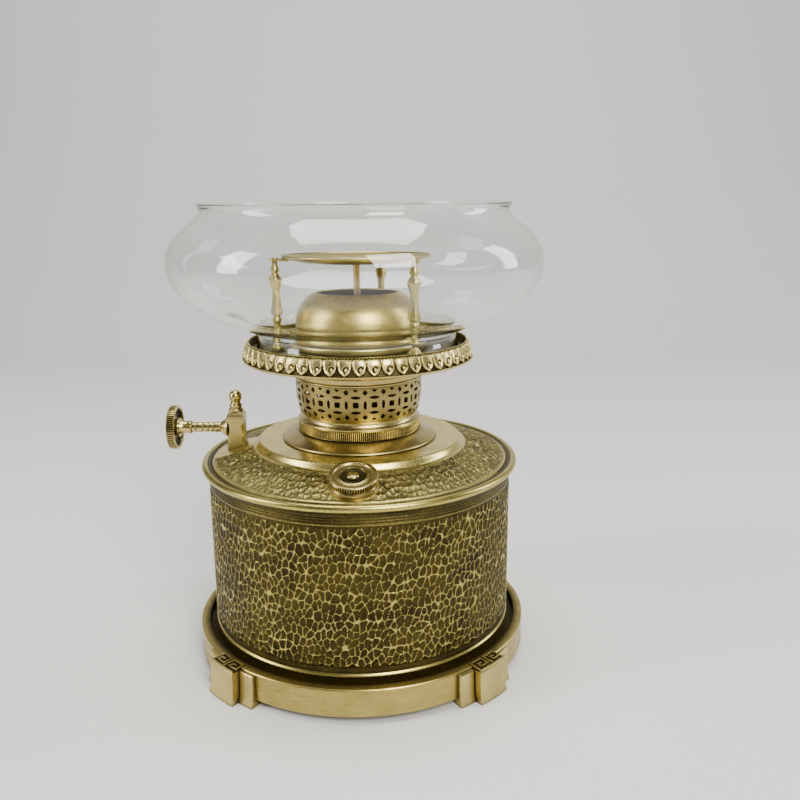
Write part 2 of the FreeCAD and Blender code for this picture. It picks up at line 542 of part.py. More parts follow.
# Three turned and faceted posts, each a stack of ruled six-sided sections, with a threaded tail.
STATIONS = [(1.6, 156.5), (3.3, 157.6), (3.3, 159.6), (1.4, 161.2), (1.4, 162.1), (2.6, 163.0), (2.6, 164.2),
            (1.9, 165.5), (1.9, 170.0), (2.4, 171.0), (2.4, 172.0), (1.7, 173.2), (3.2, 174.2), (2.4, 178.5),
            (1.8, 183.0), (2.3, 187.0), (3.4, 191.2), (1.9, 193.6), (1.7, 194.8), (2.3, 196.2), (1.5, 198.6),
            (1.4, 200.6)]
posts, nuts = [], []
for k, (x, y) in enumerate(spots):
    turn = Rotation(Vector(0, 0, 1), bearings[k])
    sections = []
    for i, (r, z) in enumerate(STATIONS):
        p = doc.addObject("Part::RegularPolygon", "post_%d_section_%02d" % (k + 1, i))
        p.Polygon = 6
        p.Circumradius = r
        p.Placement = Placement(Vector(x, y, z), turn)
        sections.append(p)
    loft = doc.addObject("Part::Loft", "post_loft_%d" % (k + 1))
    loft.Sections = sections
    loft.Solid, loft.Ruled, loft.Closed = True, True, False
    tail = cylinder("post_tail_%d" % (k + 1), 1.25, 5.0, (x, y, 152.0))
    posts.append(fuse("pot_post_%d" % (k + 1), loft, tail))
    blank = doc.addObject("Part::Prism", "nut_blank_%d" % (k + 1))
    blank.Polygon, blank.Circumradius, blank.Height = 6, 2.9, 2.2
    blank.Placement = Placement(Vector(x, y, 153.3), turn)
    thread = cylinder("nut_thread_%d" % (k + 1), 1.3, 4, (x, y, 152.4))
    nuts.append(cut("post_nut_%d" % (k + 1), blank, thread))
keep(group("pot_posts", posts))
keep(group("post_nuts", nuts))

dish = turned("pot_dish", [
    (0, "plate_low"), (28.0, "plate_low"), (33.0, "plate_low+1.1"), (36.0, "plate_low+2.6"),
    ("plate_radius", "plate_top-0.7"), ("plate_radius-0.3", "plate_top"), ("plate_radius-0.9", "plate_top"),
    ("plate_radius-1.3", "plate_top-0.6"), (32.6, "plate_low+2.3"), (28.0, "plate_low+1.2"), (0, "plate_low+1.2"),
])
ears = []
for k, b in enumerate(bearings):
    ear = doc.addObject("Part::Box", "ear_bar_%d" % (k + 1))
    ear.Length, ear.Width = VALUE["pot_post_circle"] - 34.0, VALUE["ear_width"]
    ear.setExpression("Height", "sizes.ear_thick")
    turn = Rotation(Vector(0, 0, 1), b - 90)
    ear.Placement = Placement(turn.multVec(Vector(34.0, -VALUE["ear_width"] / 2, VALUE["ear_low"])), turn)
    x, y = polar(VALUE["pot_post_circle"], b)
    tip = cylinder("ear_tip_%d" % (k + 1), VALUE["ear_width"] / 2, "ear_thick", (x, y, VALUE["ear_low"]))
    ears += [ear, tip]
keep(fuse("pot_plate", dish, *ears))

keep(turned("spreader_rod", [
    (0, "spreader_top-1.6"), ("rod_radius", "spreader_top-1.6"), ("rod_radius", "plate_low"), (0, "plate_low"),
]))
keep(turned("flame_spreader", [
    ("spreader_radius-0.8", "spreader_low"), ("spreader_radius", "spreader_low"), ("spreader_radius", 172.0),
    ("spreader_disc-0.3", 172.2), ("spreader_disc", 172.5), ("spreader_disc", 173.5),
    ("spreader_disc-0.8", "spreader_top"), ("rod_radius", "spreader_top"), ("rod_radius", 172.8),
    ("spreader_radius-0.8", 172.8),
]))

# ---------------------------------------------------------------- globe
keep(turned("glass_globe", [
    ("fitter_radius-2.2", "globe_foot"), ("fitter_radius", "globe_foot"), ("fitter_radius-0.6", 160.0),
    ("fitter_radius-1.2", 164.2), ("fitter_radius-0.9", 166.0), ("fitter_radius+1.2", 167.2),
    (74.7, 176.9, 63.9, 171.6), (86.2, 187.0, 81.2, 181.9),
    ("globe_radius-0.1", 201.2, 90.3, 194.2), (83.7, 214.8, 88.6, 208.6), (76.0, 221.6, 80.1, 217.9),
    (74.2, 224.6, 74.9, 222.8), ("globe_mouth-0.3", "globe_top-0.5"), ("globe_mouth-1.2", "globe_top", 74.9, "globe_top-0.1"),
    ("globe_mouth-3", "globe_top-0.5", 73.2, "globe_top-0.1"), (72.0, 224.2),
    (74.4, 220.0, 72.9, 221.8), (82.0, 213.3, 78.5, 216.4),
    ("globe_radius-2.3", 201.0, 86.7, 207.5), (84.4, 188.4, 88.1, 194.8), (73.5, 178.8, 79.7, 183.4),
    (50.6, 169.3, 62.9, 173.7), ("fitter_radius-2.9", 167.0), ("fitter_radius-3.4", 164.4), ("fitter_radius-2.8", 160.0),
]))

# ---------------------------------------------------------------- checks and export
doc.recompute()
for obj in doc.Objects:
    bad = [s for s in obj.State if s in ("Invalid", "Error")]
    if bad:
        raise RuntimeError("%s is %s" % (obj.Label, bad))
for node in NODES:
    if node.Shape.isNull() or not node.Shape.isValid() or not node.Shape.Solids:
        raise RuntimeError("%s has no valid solid" % node.Label)
os.makedirs("parts", exist_ok=True)
for node in NODES:
    node.Shape.exportStep("parts/%s.step" % node.Label)
    print("%-16s solids %d volume %.1f" % (node.Label, len(node.Shape.Solids), node.Shape.Volume))
print("nodes", len(NODES))
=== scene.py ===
import math

import bmesh
import bpy
import numpy as np
from mathutils import Euler, Matrix, Vector


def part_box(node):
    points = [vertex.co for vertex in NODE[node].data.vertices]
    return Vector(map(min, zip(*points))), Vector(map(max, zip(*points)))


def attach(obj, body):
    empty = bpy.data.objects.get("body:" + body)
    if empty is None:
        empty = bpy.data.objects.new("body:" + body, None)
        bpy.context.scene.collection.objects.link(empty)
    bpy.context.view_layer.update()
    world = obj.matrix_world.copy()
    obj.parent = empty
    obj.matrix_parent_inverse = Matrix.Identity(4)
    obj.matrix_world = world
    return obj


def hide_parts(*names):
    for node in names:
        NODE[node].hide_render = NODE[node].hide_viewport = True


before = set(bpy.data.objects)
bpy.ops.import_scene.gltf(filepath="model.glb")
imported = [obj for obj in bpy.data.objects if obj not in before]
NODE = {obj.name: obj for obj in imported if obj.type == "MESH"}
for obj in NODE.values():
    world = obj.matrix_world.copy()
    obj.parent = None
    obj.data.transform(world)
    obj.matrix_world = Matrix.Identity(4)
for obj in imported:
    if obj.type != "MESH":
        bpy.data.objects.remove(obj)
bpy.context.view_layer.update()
MM = 0.001
TAU = 2 * math.pi


# ------------------------------------------------------------------ mesh helpers
def soften(points, radius=0.25, steps=3, closed=True):
    """Rounds the corners of an outline. A point may carry its own radius as a third number."""
    n = len(points)
    out = []
    for i in range(n):
        p = np.array(points[i][:2], float)
        if not closed and i in (0, n - 1):
            out.append(tuple(p))
            continue
        a = np.array(points[i - 1][:2], float)
        b = np.array(points[(i + 1) % n][:2], float)
        r = points[i][2] if len(points[i]) > 2 else radius
        da, db = a - p, b - p
        la, lb = np.linalg.norm(da), np.linalg.norm(db)
        da, db = da / la, db / lb
        turn = math.pi - math.acos(max(-1, min(1, float(da @ db))))
        if r <= 0 or turn < math.radians(9):
            out.append(tuple(p))
            continue
        d = min(r * math.tan(turn / 2), 0.42 * la, 0.42 * lb)
        s, e = p + da * d, p + db * d
        k = max(1, int(math.ceil(steps * turn / (math.pi / 2))))
        for j in range(k + 1):
            t = j / k
            out.append(tuple((1 - t) ** 2 * s + 2 * t * (1 - t) * p + t * t * e))
    return out


def arc(cx, cz, r, a0, a1, n=10):
    """Points of an arc, angles in degrees from +r towards +z."""
    return [(cx + r * math.cos(math.radians(a0 + (a1 - a0) * i / n)),
             cz + r * math.sin(math.radians(a0 + (a1 - a0) * i / n)), 0) for i in range(n + 1)]


def spline(points, per=6):
    """Catmull-Rom through the points."""
    p = [np.array(q[:2], float) for q in points]
    p = [2 * p[0] - p[1]] + p + [2 * p[-1] - p[-2]]
    out = []
    for i in range(1, len(p) - 2):
        for j in range(per):
            t = j / per
            out.append(tuple(0.5 * (2 * p[i] + (p[i + 1] - p[i - 1]) * t
                                    + (2 * p[i - 1] - 5 * p[i] + 4 * p[i + 1] - p[i + 2]) * t * t
                                    + (3 * p[i] - p[i - 1] - 3 * p[i + 1] + p[i + 2]) * t ** 3)) + (0,))
    out.append(tuple(p[-2]) + (0,))
    return out


def make(name, verts, faces, body, mat, replaces=(), smooth=35, place=None, attrs=None):
    """A mesh piece from points in millimetres, riding on a body."""
    me = bpy.data.meshes.new(name)
    v = np.asarray(verts, float) * MM
    me.from_pydata(v.tolist(), [], faces)
    if attrs:
        for key, values in attrs.items():
            at = me.attributes.new(key, "FLOAT", "POINT")
            at.data.foreach_set("value", np.asarray(values, np.float32))
    ob = bpy.data.objects.new(name, me)
    bpy.context.scene.collection.objects.link(ob)
    if place is not None:
        me.transform(place)
    finish_piece(ob, body, mat, replaces, smooth)
    return ob


def finish_piece(ob, body, mat, replaces=(), smooth=35, merge=1e-7):
    me = ob.data
    bm = bmesh.new()
    bm.from_mesh(me)
    bmesh.ops.remove_doubles(bm, verts=bm.verts, dist=merge)
    bmesh.ops.dissolve_degenerate(bm, edges=bm.edges, dist=1e-8)
    bmesh.ops.recalc_face_normals(bm, faces=bm.faces)
    bm.to_mesh(me)
    bm.free()
    me.shade_smooth()
    if smooth:
        me.set_sharp_from_angle(angle=math.radians(smooth))
    me.materials.clear()
    me.materials.append(mat)
    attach(ob, body)
    if replaces:
        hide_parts(*replaces)
    return ob


def lathe_arrays(prof, seg, wobble=None, closed=True, shade=None):
    """Vertices and quads of an outline turned about Z. wobble(theta, k, r, z) gives a radius change for the whole ring at once."""
    th = np.arange(seg) * TAU / seg
    verts, faces = [], []
    n = len(prof)
    for k, p in enumerate(prof):
        r, z = p[0], p[1]
        rr = np.full(seg, float(r))
        zz = np.full(seg, float(z))
        tint = np.ones(seg)
        if wobble is not None:
            dr, tint = wobble(th, k, r, z)
            rr = rr + dr
        if shade is not None:
            shade.append(tint)
        verts.append(np.stack([rr * np.sin(th), -rr * np.cos(th), zz], 1))
    idx = lambda k, j: k * seg + (j % seg)
    last = n if closed else n - 1
    for k in range(last):
        k2 = (k + 1) % n
        for j in range(seg):
            faces.append((idx(k, j), idx(k, j + 1), idx(k2, j + 1), idx(k2, j)))
    return np.concatenate(verts), faces


def level(prof, node):
    """Moves an outline up or down so that its foot is where the CAD node's foot is."""
    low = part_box(node)[0].z / MM
    dz = low - min(p[1] for p in prof)
    return [(p[0], p[1] + dz) + tuple(p[2:]) for p in prof]


def lathe(name, prof, body, mat, replaces=(), seg=192, radius=0.25, steps=3, wobble=None, closed=True,
          place=None, smooth=35, anchor=None):
    if anchor:
        prof = level(prof, anchor)
    prof = soften(prof, radius, steps, closed)
    shade = []
    v, f = lathe_arrays(prof, seg, wobble, closed, shade)
    attrs = {"ridge": np.concatenate(shade)} if wobble is not None else None
    return make(name, v, f, body, mat, replaces, smooth, place, attrs)


# ------------------------------------------------------------------ node helpers
class Nodes:
    def __init__(self, name):
        self.mat = bpy.data.materials.new(name)
        self.mat.use_nodes = True
        self.nt = self.mat.node_tree
        self.nt.nodes.clear()
        self.out = self.nt.nodes.new("ShaderNodeOutputMaterial")

    def new(self, kind, **kw):
        n = self.nt.nodes.new(kind)
        for k, v in kw.items():
            setattr(n, k, v)
        return n

    def feed(self, socket, value):
        if isinstance(value, bpy.types.NodeSocket):
            self.nt.links.new(value, socket)
        elif isinstance(value, bpy.types.Node):
            self.nt.links.new(value.outputs[0], socket)
        elif value is not None:
            socket.default_value = value

    def maths(self, op, a, b=None, c=None, clamp=False):
        n = self.new("ShaderNodeMath", operation=op, use_clamp=clamp)
        self.feed(n.inputs[0], a)
        if b is not None:
            self.feed(n.inputs[1], b)
        if c is not None:
            self.feed(n.inputs[2], c)
        return n.outputs[0]

    def mix(self, fac, a, b, blend="MIX"):
        n = self.new("ShaderNodeMix", data_type="RGBA", blend_type=blend)
        self.feed(n.inputs[0], fac)
        self.feed(n.inputs[6], a)
        self.feed(n.inputs[7], b)
        return n.outputs[2]

    def ramp(self, fac, stops, mode="LINEAR"):
        n = self.new("ShaderNodeValToRGB")
        n.color_ramp.interpolation = mode
        els = n.color_ramp.elements
        els[0].position, els[0].color = stops[0][0], stops[0][1]
        els[1].position, els[1].color = stops[-1][0], stops[-1][1]
        for pos, col in stops[1:-1]:
            e = els.new(pos)
            e.color = col
        self.feed(n.inputs[0], fac)
        return n.outputs[0]

    def span(self, value, lo, hi, to0=0.0, to1=1.0, smooth=False):
        n = self.new("ShaderNodeMapRange")
        n.interpolation_type = "SMOOTHSTEP" if smooth else "LINEAR"
        self.feed(n.inputs[0], value)
        n.inputs[1].default_value, n.inputs[2].default_value = lo, hi
        n.inputs[3].default_value, n.inputs[4].default_value = to0, to1
        return n.outputs[0]

    def noise(self, vec, scale, detail=2.0, rough=0.5, dist=0.0):
        n = self.new("ShaderNodeTexNoise")
        n.inputs["Scale"].default_value = scale
        n.inputs["Detail"].default_value = detail
        n.inputs["Roughness"].default_value = rough
        n.inputs["Distortion"].default_value = dist
        self.feed(n.inputs["Vector"], vec)
        return n.outputs[0]


def g(v, a=1.0):
    return (v, v, v, a)


def col(r, gg, b):
    return (r, gg, b, 1.0)


def object_xyz(N):
    tc = N.new("ShaderNodeTexCoord")
    sep = N.new("ShaderNodeSeparateXYZ")
    N.feed(sep.inputs[0], tc.outputs["Object"])
    return tc.outputs["Object"], sep.outputs


def brushed_vector(N, axis, along=18.0, across=2600.0, radial=900.0, origin=(0, 0, 0)):
    """A vector in which noise draws long lines round the axis: the turning marks of a lathe or a polishing wheel."""
    vec, xyz = object_xyz(N)
    x = N.maths("SUBTRACT", xyz[0], origin[0])
    y = N.maths("SUBTRACT", xyz[1], origin[1])
    z = N.maths("SUBTRACT", xyz[2], origin[2])
    if axis == "Z":
        a, b, c = x, y, z
    elif axis == "X":
        a, b, c = y, z, x
    ang = N.maths("ARCTAN2", b, a)
    rad = N.maths("SQRT", N.maths("ADD", N.maths("MULTIPLY", a, a), N.maths("MULTIPLY", b, b)))
    sn, cs = N.maths("SINE", ang), N.maths("COSINE", ang)
    comb = N.new("ShaderNodeCombineXYZ")
    # the circle is walked through sine and cosine, so that the lines have no seam
    N.feed(comb.inputs[0], N.maths("MULTIPLY", sn, along))
    N.feed(comb.inputs[1], N.maths("MULTIPLY", cs, along))
    N.feed(comb.inputs[2], N.maths("ADD", N.maths("MULTIPLY", c, across), N.maths("MULTIPLY", rad, radial)))
    return comb.outputs[0], vec


def brass(name, clean=(0.60, 0.485, 0.19), mid=(0.27, 0.205, 0.070), dark=(0.026, 0.019, 0.008), rough=0.27,
          axis="Z", brush=0.5, tarnish=0.45, crevice=0.9, reach=0.0035, origin=(0, 0, 0), ridge=None,
          along=14.0, across=2600.0, radial=900.0, bump=0.25, shade_zones=(), hollow=None):
    """Antique brass: satin brushed metal, darker and duller in hollows and between parts, partly patina where polish
    does not reach and partly painted shade.
    """
    N = Nodes(name)
    p = N.new("ShaderNodeBsdfPrincipled")
    N.feed(N.out.inputs[0], p)
    if axis:
        bvec, vec = brushed_vector(N, axis, along, across, radial, origin)
        lines = N.noise(bvec, 1.0, 3.0, 0.62)
        broad = N.noise(bvec, 0.22, 2.0, 0.5)
    else:
        vec, _ = object_xyz(N)
        lines = N.noise(vec, 2400.0, 2.0, 0.6)
        broad = N.noise(vec, 420.0, 2.0, 0.5)
    cloud = N.noise(vec, 55.0, 4.0, 0.6, 0.4)
    speck = N.noise(vec, 900.0, 3.0, 0.65)
    # patina and painted shade: ambient occlusion darkens hollows and places between parts towards the dark colour
    ao = N.new("ShaderNodeAmbientOcclusion", samples=6)
    ao.inputs["Distance"].default_value = reach
    open_ = N.span(ao.outputs["AO"], 0.25, 0.95, 0.0, 1.0, True)
    patina_and_shade = N.maths("MULTIPLY", N.maths("SUBTRACT", 1.0, open_), crevice, clamp=True)
    tone = N.span(cloud, 0.32, 0.68)
    tone = N.maths("MULTIPLY", tone, tarnish)
    streak = N.maths("MULTIPLY", N.span(lines, 0.35, 0.70), brush)
    body = N.mix(N.maths("ADD", tone, N.maths("MULTIPLY", streak, 0.55), clamp=True), col(*clean), col(*mid))
    body = N.mix(N.span(speck, 0.60, 0.78, 0.0, 0.35), body, col(*[m * 0.55 for m in mid]))
    if ridge:
        at = N.new("ShaderNodeAttribute", attribute_name=ridge)
        hi = N.maths("ADD", at.outputs["Fac"], N.maths("MULTIPLY", N.maths("SUBTRACT", speck, 0.5), 0.35))
        lo_a, lo_b = hollow or ([d * 1.2 for d in dark], [m * 0.24 for m in mid])
        low = N.mix(N.span(cloud, 0.35, 0.65), col(*lo_a), col(*lo_b))
        low = N.mix(N.span(speck, 0.50, 0.75, 0.0, 0.5), low, col(*[q * 1.8 for q in lo_b]))
        body = N.mix(N.span(hi, 0.22, 0.80, 0, 1, True), low, body)
        patina_and_shade = N.maths("MULTIPLY", patina_and_shade, 0.7)
    # painted shade: listed bands of radius or height are darkened towards the dark colour, standing in for shade inside
    # a seat, under a lip, in a grooved band
    for kind, lo, hi_, amount in shade_zones:
        _, q = object_xyz(N)
        if kind == "rad":
            val = N.maths("SQRT", N.maths("ADD", N.maths("MULTIPLY", q[0], q[0]), N.maths("MULTIPLY", q[1], q[1])))
        else:
            val = q[2]
        if hi_ > lo:
            w = N.span(val, lo, hi_, amount, 0.0, True)
        else:
            w = N.span(val, hi_, lo, 0.0, amount, True)
        patina_and_shade = N.maths("MAXIMUM", patina_and_shade, w)
    base = N.mix(patina_and_shade, body, col(*dark))
    N.feed(p.inputs["Base Color"], base)
    p.inputs["Metallic"].default_value = 1.0
    r = N.maths("ADD", rough, N.maths("MULTIPLY", patina_and_shade, 0.30))
    r = N.maths("ADD", r, N.maths("MULTIPLY", N.maths("SUBTRACT", lines, 0.5), 0.22))
    r = N.maths("ADD", r, N.maths("MULTIPLY", tone, 0.16), clamp=True)
    if ridge:
        r = N.maths("ADD", r, N.span(hi, 0.25, 0.75, 0.16, 0.0), clamp=True)
    N.feed(p.inputs["Roughness"], r)
    b1 = N.new("ShaderNodeBump")
    b1.inputs["Strength"].default_value = bump
    b1.inputs["Distance"].default_value = 0.00008
    N.feed(b1.inputs["Height"], lines)
    b2 = N.new("ShaderNodeBump")
    b2.inputs["Strength"].default_value = 0.25
    b2.inputs["Distance"].default_value = 0.00012
    N.feed(b2.inputs["Height"], N.maths("ADD", speck, N.maths("MULTIPLY", cloud, 1.5)))
    N.feed(b2.inputs["Normal"], b1)
    N.feed(p.inputs["Normal"], b2)
    return N.mat


BRUSHED = brass("brushed_brass", axis="Z", brush=0.75, tarnish=0.40, rough=0.30, across=2200, radial=900)
# painted shade: the stand ring's top is darkest next to the tank and fades out towards its outer edge
STAND = brass("stand_brass", clean=(0.56, 0.44, 0.135), mid=(0.25, 0.19, 0.058), axis="Z", brush=0.85, tarnish=0.42, rough=0.30, across=2200, radial=900, shade_zones=[("rad", 0.0800, 0.0852, 0.93)])
CONE = brass("cone_brass", clean=(0.62, 0.48, 0.165), mid=(0.33, 0.24, 0.08), axis="Z", brush=0.8, tarnish=0.45, rough=0.30, across=2600, radial=1800)
KNURLED = brass("knurled_brass", axis="Z", brush=0.35, tarnish=0.35, rough=0.24, across=3000, radial=1500, ridge="ridge")
FILLER = brass("filler_brass", axis=None, brush=0.30, tarnish=0.35, rough=0.24, ridge="ridge", reach=0.0025, crevice=1.0)
KNURLX = brass("wheel_brass", axis=None, brush=0.30, tarnish=0.35, rough=0.24, ridge="ridge", reach=0.0025, crevice=1.0)
# painted shade: near-black brass for the tank's underside and the fret's sunk ground, where shade falls
PAINTED_SHADE_BLACK = brass("painted_shade_black_brass", clean=(0.06, 0.045, 0.02), mid=(0.03, 0.022, 0.01), dark=(0.012, 0.009, 0.005), axis=None, brush=0.3, tarnish=0.6, rough=0.5)
# soot and painted shade: dark brass for the burner deck, wick tube, flame spreader and the cone's liner, partly soot
# from the flame, partly painted shade inside the burner and the cone
SOOT_AND_SHADE = brass("soot_and_shade_brass", clean=(0.10, 0.075, 0.04), mid=(0.05, 0.038, 0.02), dark=(0.015, 0.012, 0.008), axis="Z", brush=0.4, tarnish=0.6, rough=0.5)
TURNED = brass("turned_brass", axis="Z", brush=0.45, tarnish=0.35, rough=0.22, across=3000, radial=1500)
DEEP = brass("shadow_brass", clean=(0.15, 0.115, 0.05), mid=(0.07, 0.052, 0.022), axis="Z", brush=0.5, tarnish=0.7, rough=0.38)
CAST = brass("cast_brass", axis=None, brush=0.25, tarnish=0.45, rough=0.26, reach=0.003, crevice=1.0)
HAMMERED = brass("hammered_brass", clean=(0.52, 0.43, 0.125), mid=(0.30, 0.235, 0.062), axis=None, brush=0.2, tarnish=0.45, rough=0.25, ridge="ridge", reach=0.0022, crevice=0.5)
# painted light: a brighter copy of the side's hammered brass, ridges and hollows both, standing in for the top light
# falling on the shoulder
SHOULDER_PAINTED_LIGHT = brass("shoulder_brass_painted_light", clean=(0.74, 0.62, 0.20), mid=(0.48, 0.385, 0.115), axis=None, brush=0.2, tarnish=0.45, rough=0.24, ridge="ridge", reach=0.0022, crevice=0.6,
                 hollow=((0.075, 0.057, 0.021), (0.22, 0.175, 0.060)))
BASKET = brass("basket_brass", clean=(0.42, 0.33, 0.118), mid=(0.19, 0.145, 0.048), axis=None, brush=0.25, tarnish=0.50, rough=0.30, reach=0.003, crevice=1.0)
LEAFED = brass("leaf_brass", clean=(0.70, 0.575, 0.23), mid=(0.33, 0.255, 0.09), axis=None, brush=0.2, tarnish=0.25, rough=0.26, ridge="ridge", reach=0.002, crevice=0.7)
KNOB = brass("knob_brass", axis="X", origin=(-0.063, 0, 0.1155), brush=0.4, tarnish=0.30, rough=0.22, across=3000, radial=1500)
ROD = brass("rod_brass", clean=(0.62, 0.42, 0.17), mid=(0.34, 0.20, 0.08), axis="Z", brush=0.4, tarnish=0.5, rough=0.30)
INNER = brass("inner_brass", clean=(0.62, 0.47, 0.22), mid=(0.32, 0.24, 0.10), axis="Z", brush=0.5, tarnish=0.5, rough=0.34)


def glass(name):
    N = Nodes(name)
    p = N.new("ShaderNodeBsdfPrincipled")
    vec, _ = object_xyz(N)
    p.inputs["Base Color"].default_value = (0.965, 0.992, 0.975, 1)
    p.inputs["Transmission Weight"].default_value = 1.0
    p.inputs["IOR"].default_value = 1.47
    N.feed(p.inputs["Roughness"], N.span(N.noise(vec, 60.0, 3.0, 0.5), 0.3, 0.8, 0.0, 0.025))
    b = N.new("ShaderNodeBump")
    b.inputs["Strength"].default_value = 0.10
    b.inputs["Distance"].default_value = 0.0004
    N.feed(b.inputs["Height"], N.noise(vec, 38.0, 2.0, 0.5))
    N.feed(p.inputs["Normal"], b)
    lp = N.new("ShaderNodeLightPath")
    tr = N.new("ShaderNodeBsdfTransparent")
    tr.inputs[0].default_value = (0.93, 0.97, 0.95, 1)
    m = N.new("ShaderNodeMixShader")
    N.feed(m.inputs[0], lp.outputs["Is Shadow Ray"])
    N.feed(m.inputs[1], p)
    N.feed(m.inputs[2], tr)
    N.feed(N.out.inputs[0], m)
    return N.mat


def cotton(name):
    N = Nodes(name)
    p = N.new("ShaderNodeBsdfPrincipled")
    N.feed(N.out.inputs[0], p)
    vec, xyz = object_xyz(N)
    ang = N.maths("ARCTAN2", xyz[1], xyz[0])
    up = N.maths("MULTIPLY", xyz[2], TAU / 0.0016)
    wrap = N.maths("MULTIPLY", ang, 60.0)
    a = N.maths("SINE", N.maths("ADD", up, wrap))
    b = N.maths("SINE", N.maths("SUBTRACT", up, wrap))
    weave = N.maths("MULTIPLY", a, b)
    fibre = N.noise(vec, 3000.0, 4.0, 0.7)
    shade = N.maths("ADD", N.span(weave, -1, 1, 0.0, 0.7), N.maths("MULTIPLY", fibre, 0.4), clamp=True)
    char = N.span(xyz[2], 0.158, 0.165, 0.0, 0.85, True)
    cloth = N.mix(shade, col(0.42, 0.36, 0.27), col(0.86, 0.81, 0.70))
    N.feed(p.inputs["Base Color"], N.mix(char, cloth, col(0.035, 0.028, 0.022)))
    p.inputs["Roughness"].default_value = 0.92
    bp = N.new("ShaderNodeBump")
    bp.inputs["Strength"].default_value = 0.7
    bp.inputs["Distance"].default_value = 0.0003
    N.feed(bp.inputs["Height"], shade)
    N.feed(p.inputs["Normal"], bp)
    return N.mat


def rubber(name, base=(0.022, 0.021, 0.020)):
    N = Nodes(name)
    p = N.new("ShaderNodeBsdfPrincipled")
    N.feed(N.out.inputs[0], p)
    vec, _ = object_xyz(N)
    n = N.noise(vec, 1500.0, 4.0, 0.7)
    N.feed(p.inputs["Base Color"], N.mix(N.span(n, 0.3, 0.7), col(*base), col(*[c * 2.2 for c in base])))
    N.feed(p.inputs["Roughness"], N.span(n, 0.2, 0.8, 0.62, 0.85))
    b = N.new("ShaderNodeBump")
    b.inputs["Strength"].default_value = 0.3
    b.inputs["Distance"].default_value = 0.0001
    N.feed(b.inputs["Height"], n)
    N.feed(p.inputs["Normal"], b)
    return N.mat


def steel(name):
    N = Nodes(name)
    p = N.new("ShaderNodeBsdfPrincipled")
    N.feed(N.out.inputs[0], p)
    vec, _ = object_xyz(N)
    n = N.noise(vec, 2600.0, 3.0, 0.6)
    N.feed(p.inputs["Base Color"], N.mix(N.span(n, 0.35, 0.7), col(0.55, 0.55, 0.56), col(0.32, 0.31, 0.30)))
    p.inputs["Metallic"].default_value = 1.0
    N.feed(p.inputs["Roughness"], N.span(n, 0.2, 0.8, 0.28, 0.48))
    return N.mat


GLASS = glass("clear_glass")
COTTON = cotton("wick_cotton")
RUBBER = rubber("seal_rubber")
YARN = rubber("packing_yarn", (0.09, 0.08, 0.065))
STEEL = steel("pinion_steel")

# painted shade: the tank's bottom, under the tank inside the stand, takes the near-black painted-shade brass
for name, mat in {
    "tank_bottom": PAINTED_SHADE_BLACK, "draft_tube": INNER, "gland_packing": YARN, "cap_gasket": RUBBER,
    "burner_gasket": RUBBER, "pinion": STEEL, "rack": INNER, "carrier_arm": INNER, "carrier_ring": INNER,
    "wick": COTTON, "burner_deck": SOOT_AND_SHADE, "wick_tube": SOOT_AND_SHADE, "post_nuts": CAST,
}.items():
    ob = NODE[name]
    ob.data.materials.clear()
    ob.data.materials.append(mat)


# ------------------------------------------------------------------ stand
lathe("stand_ring_shell", [
    (82.2, 3.3), (84.7, 3.3, 0.4), (85.0, 4.0), (84.75, 5.0, 0.8), (84.75, 15.6, 0.8), (85.05, 16.4, 0.4), (84.6, 17.1, 0.35),
    (80.5, 17.1, 0.35), (80.5, 13.0), (62.0, 13.0), (62.0, 11.0), (82.2, 11.0)],
    "stand", STAND, ["stand_ring"], seg=320, radius=0.3, anchor="stand_ring")


def sector(prof, a0, a1, n):
    """A closed outline swept from bearing a0 to a1 degrees, with end faces."""
    verts, faces = [], []
    m = len(prof)
    for i in range(n + 1):
        t = math.radians(a0 + (a1 - a0) * i / n)
        for r, z in [q[:2] for q in prof]:
            verts.append((r * math.sin(t), -r * math.cos(t), z))
    for i in range(n):
        for k in range(m):
            k2 = (k + 1) % m
            faces.append((i * m + k, i * m + k2, (i + 1) * m + k2, (i + 1) * m + k))
    faces.append(tuple(range(m)))
    faces.append(tuple(n * m + k for k in reversed(range(m))))
    return verts, faces


def ribbon(path, width, z0, z1):
    """A flat bar of constant width along an open path of (s, r) points, bent round the axis. s is the length along R 86."""
    pts = [np.array(p, float) for p in path]
    left, right = [], []
    for i, p in enumerate(pts):
        da = pts[i] - pts[i - 1] if i else pts[1] - pts[0]
        db = pts[i + 1] - pts[i] if i < len(pts) - 1 else da
        da, db = da / np.linalg.norm(da), db / np.linalg.norm(db)
        na, nb = np.array([-da[1], da[0]]), np.array([-db[1], db[0]])
        m = na + nb
        m = m / (m @ na)
        left.append(p + m * width / 2)
        right.append(p - m * width / 2)
    verts, faces = [], []
    for i in range(len(pts)):
        for q, z in ((left[i], z0), (left[i], z1), (right[i], z1), (right[i], z0)):
            t = q[0] / 86.0
            verts.append((q[1] * math.sin(t), -q[1] * math.cos(t), z))
    for i in range(len(pts) - 1):
        a, b = 4 * i, 4 * i + 4
        for k in range(4):
            faces.append((a + k, a + (k + 1) % 4, b + (k + 1) % 4, b + k))
    faces.append((0, 1, 2, 3))
    e = 4 * (len(pts) - 1)
    faces.append((e + 3, e + 2, e + 1, e))
    return verts, faces


def joined(parts):
    verts, faces = [], []
    for v, f in parts:
        base = len(verts)
        verts += [tuple(q) for q in v]
        faces += [tuple(base + i for i in q) for q in f]
    return verts, faces


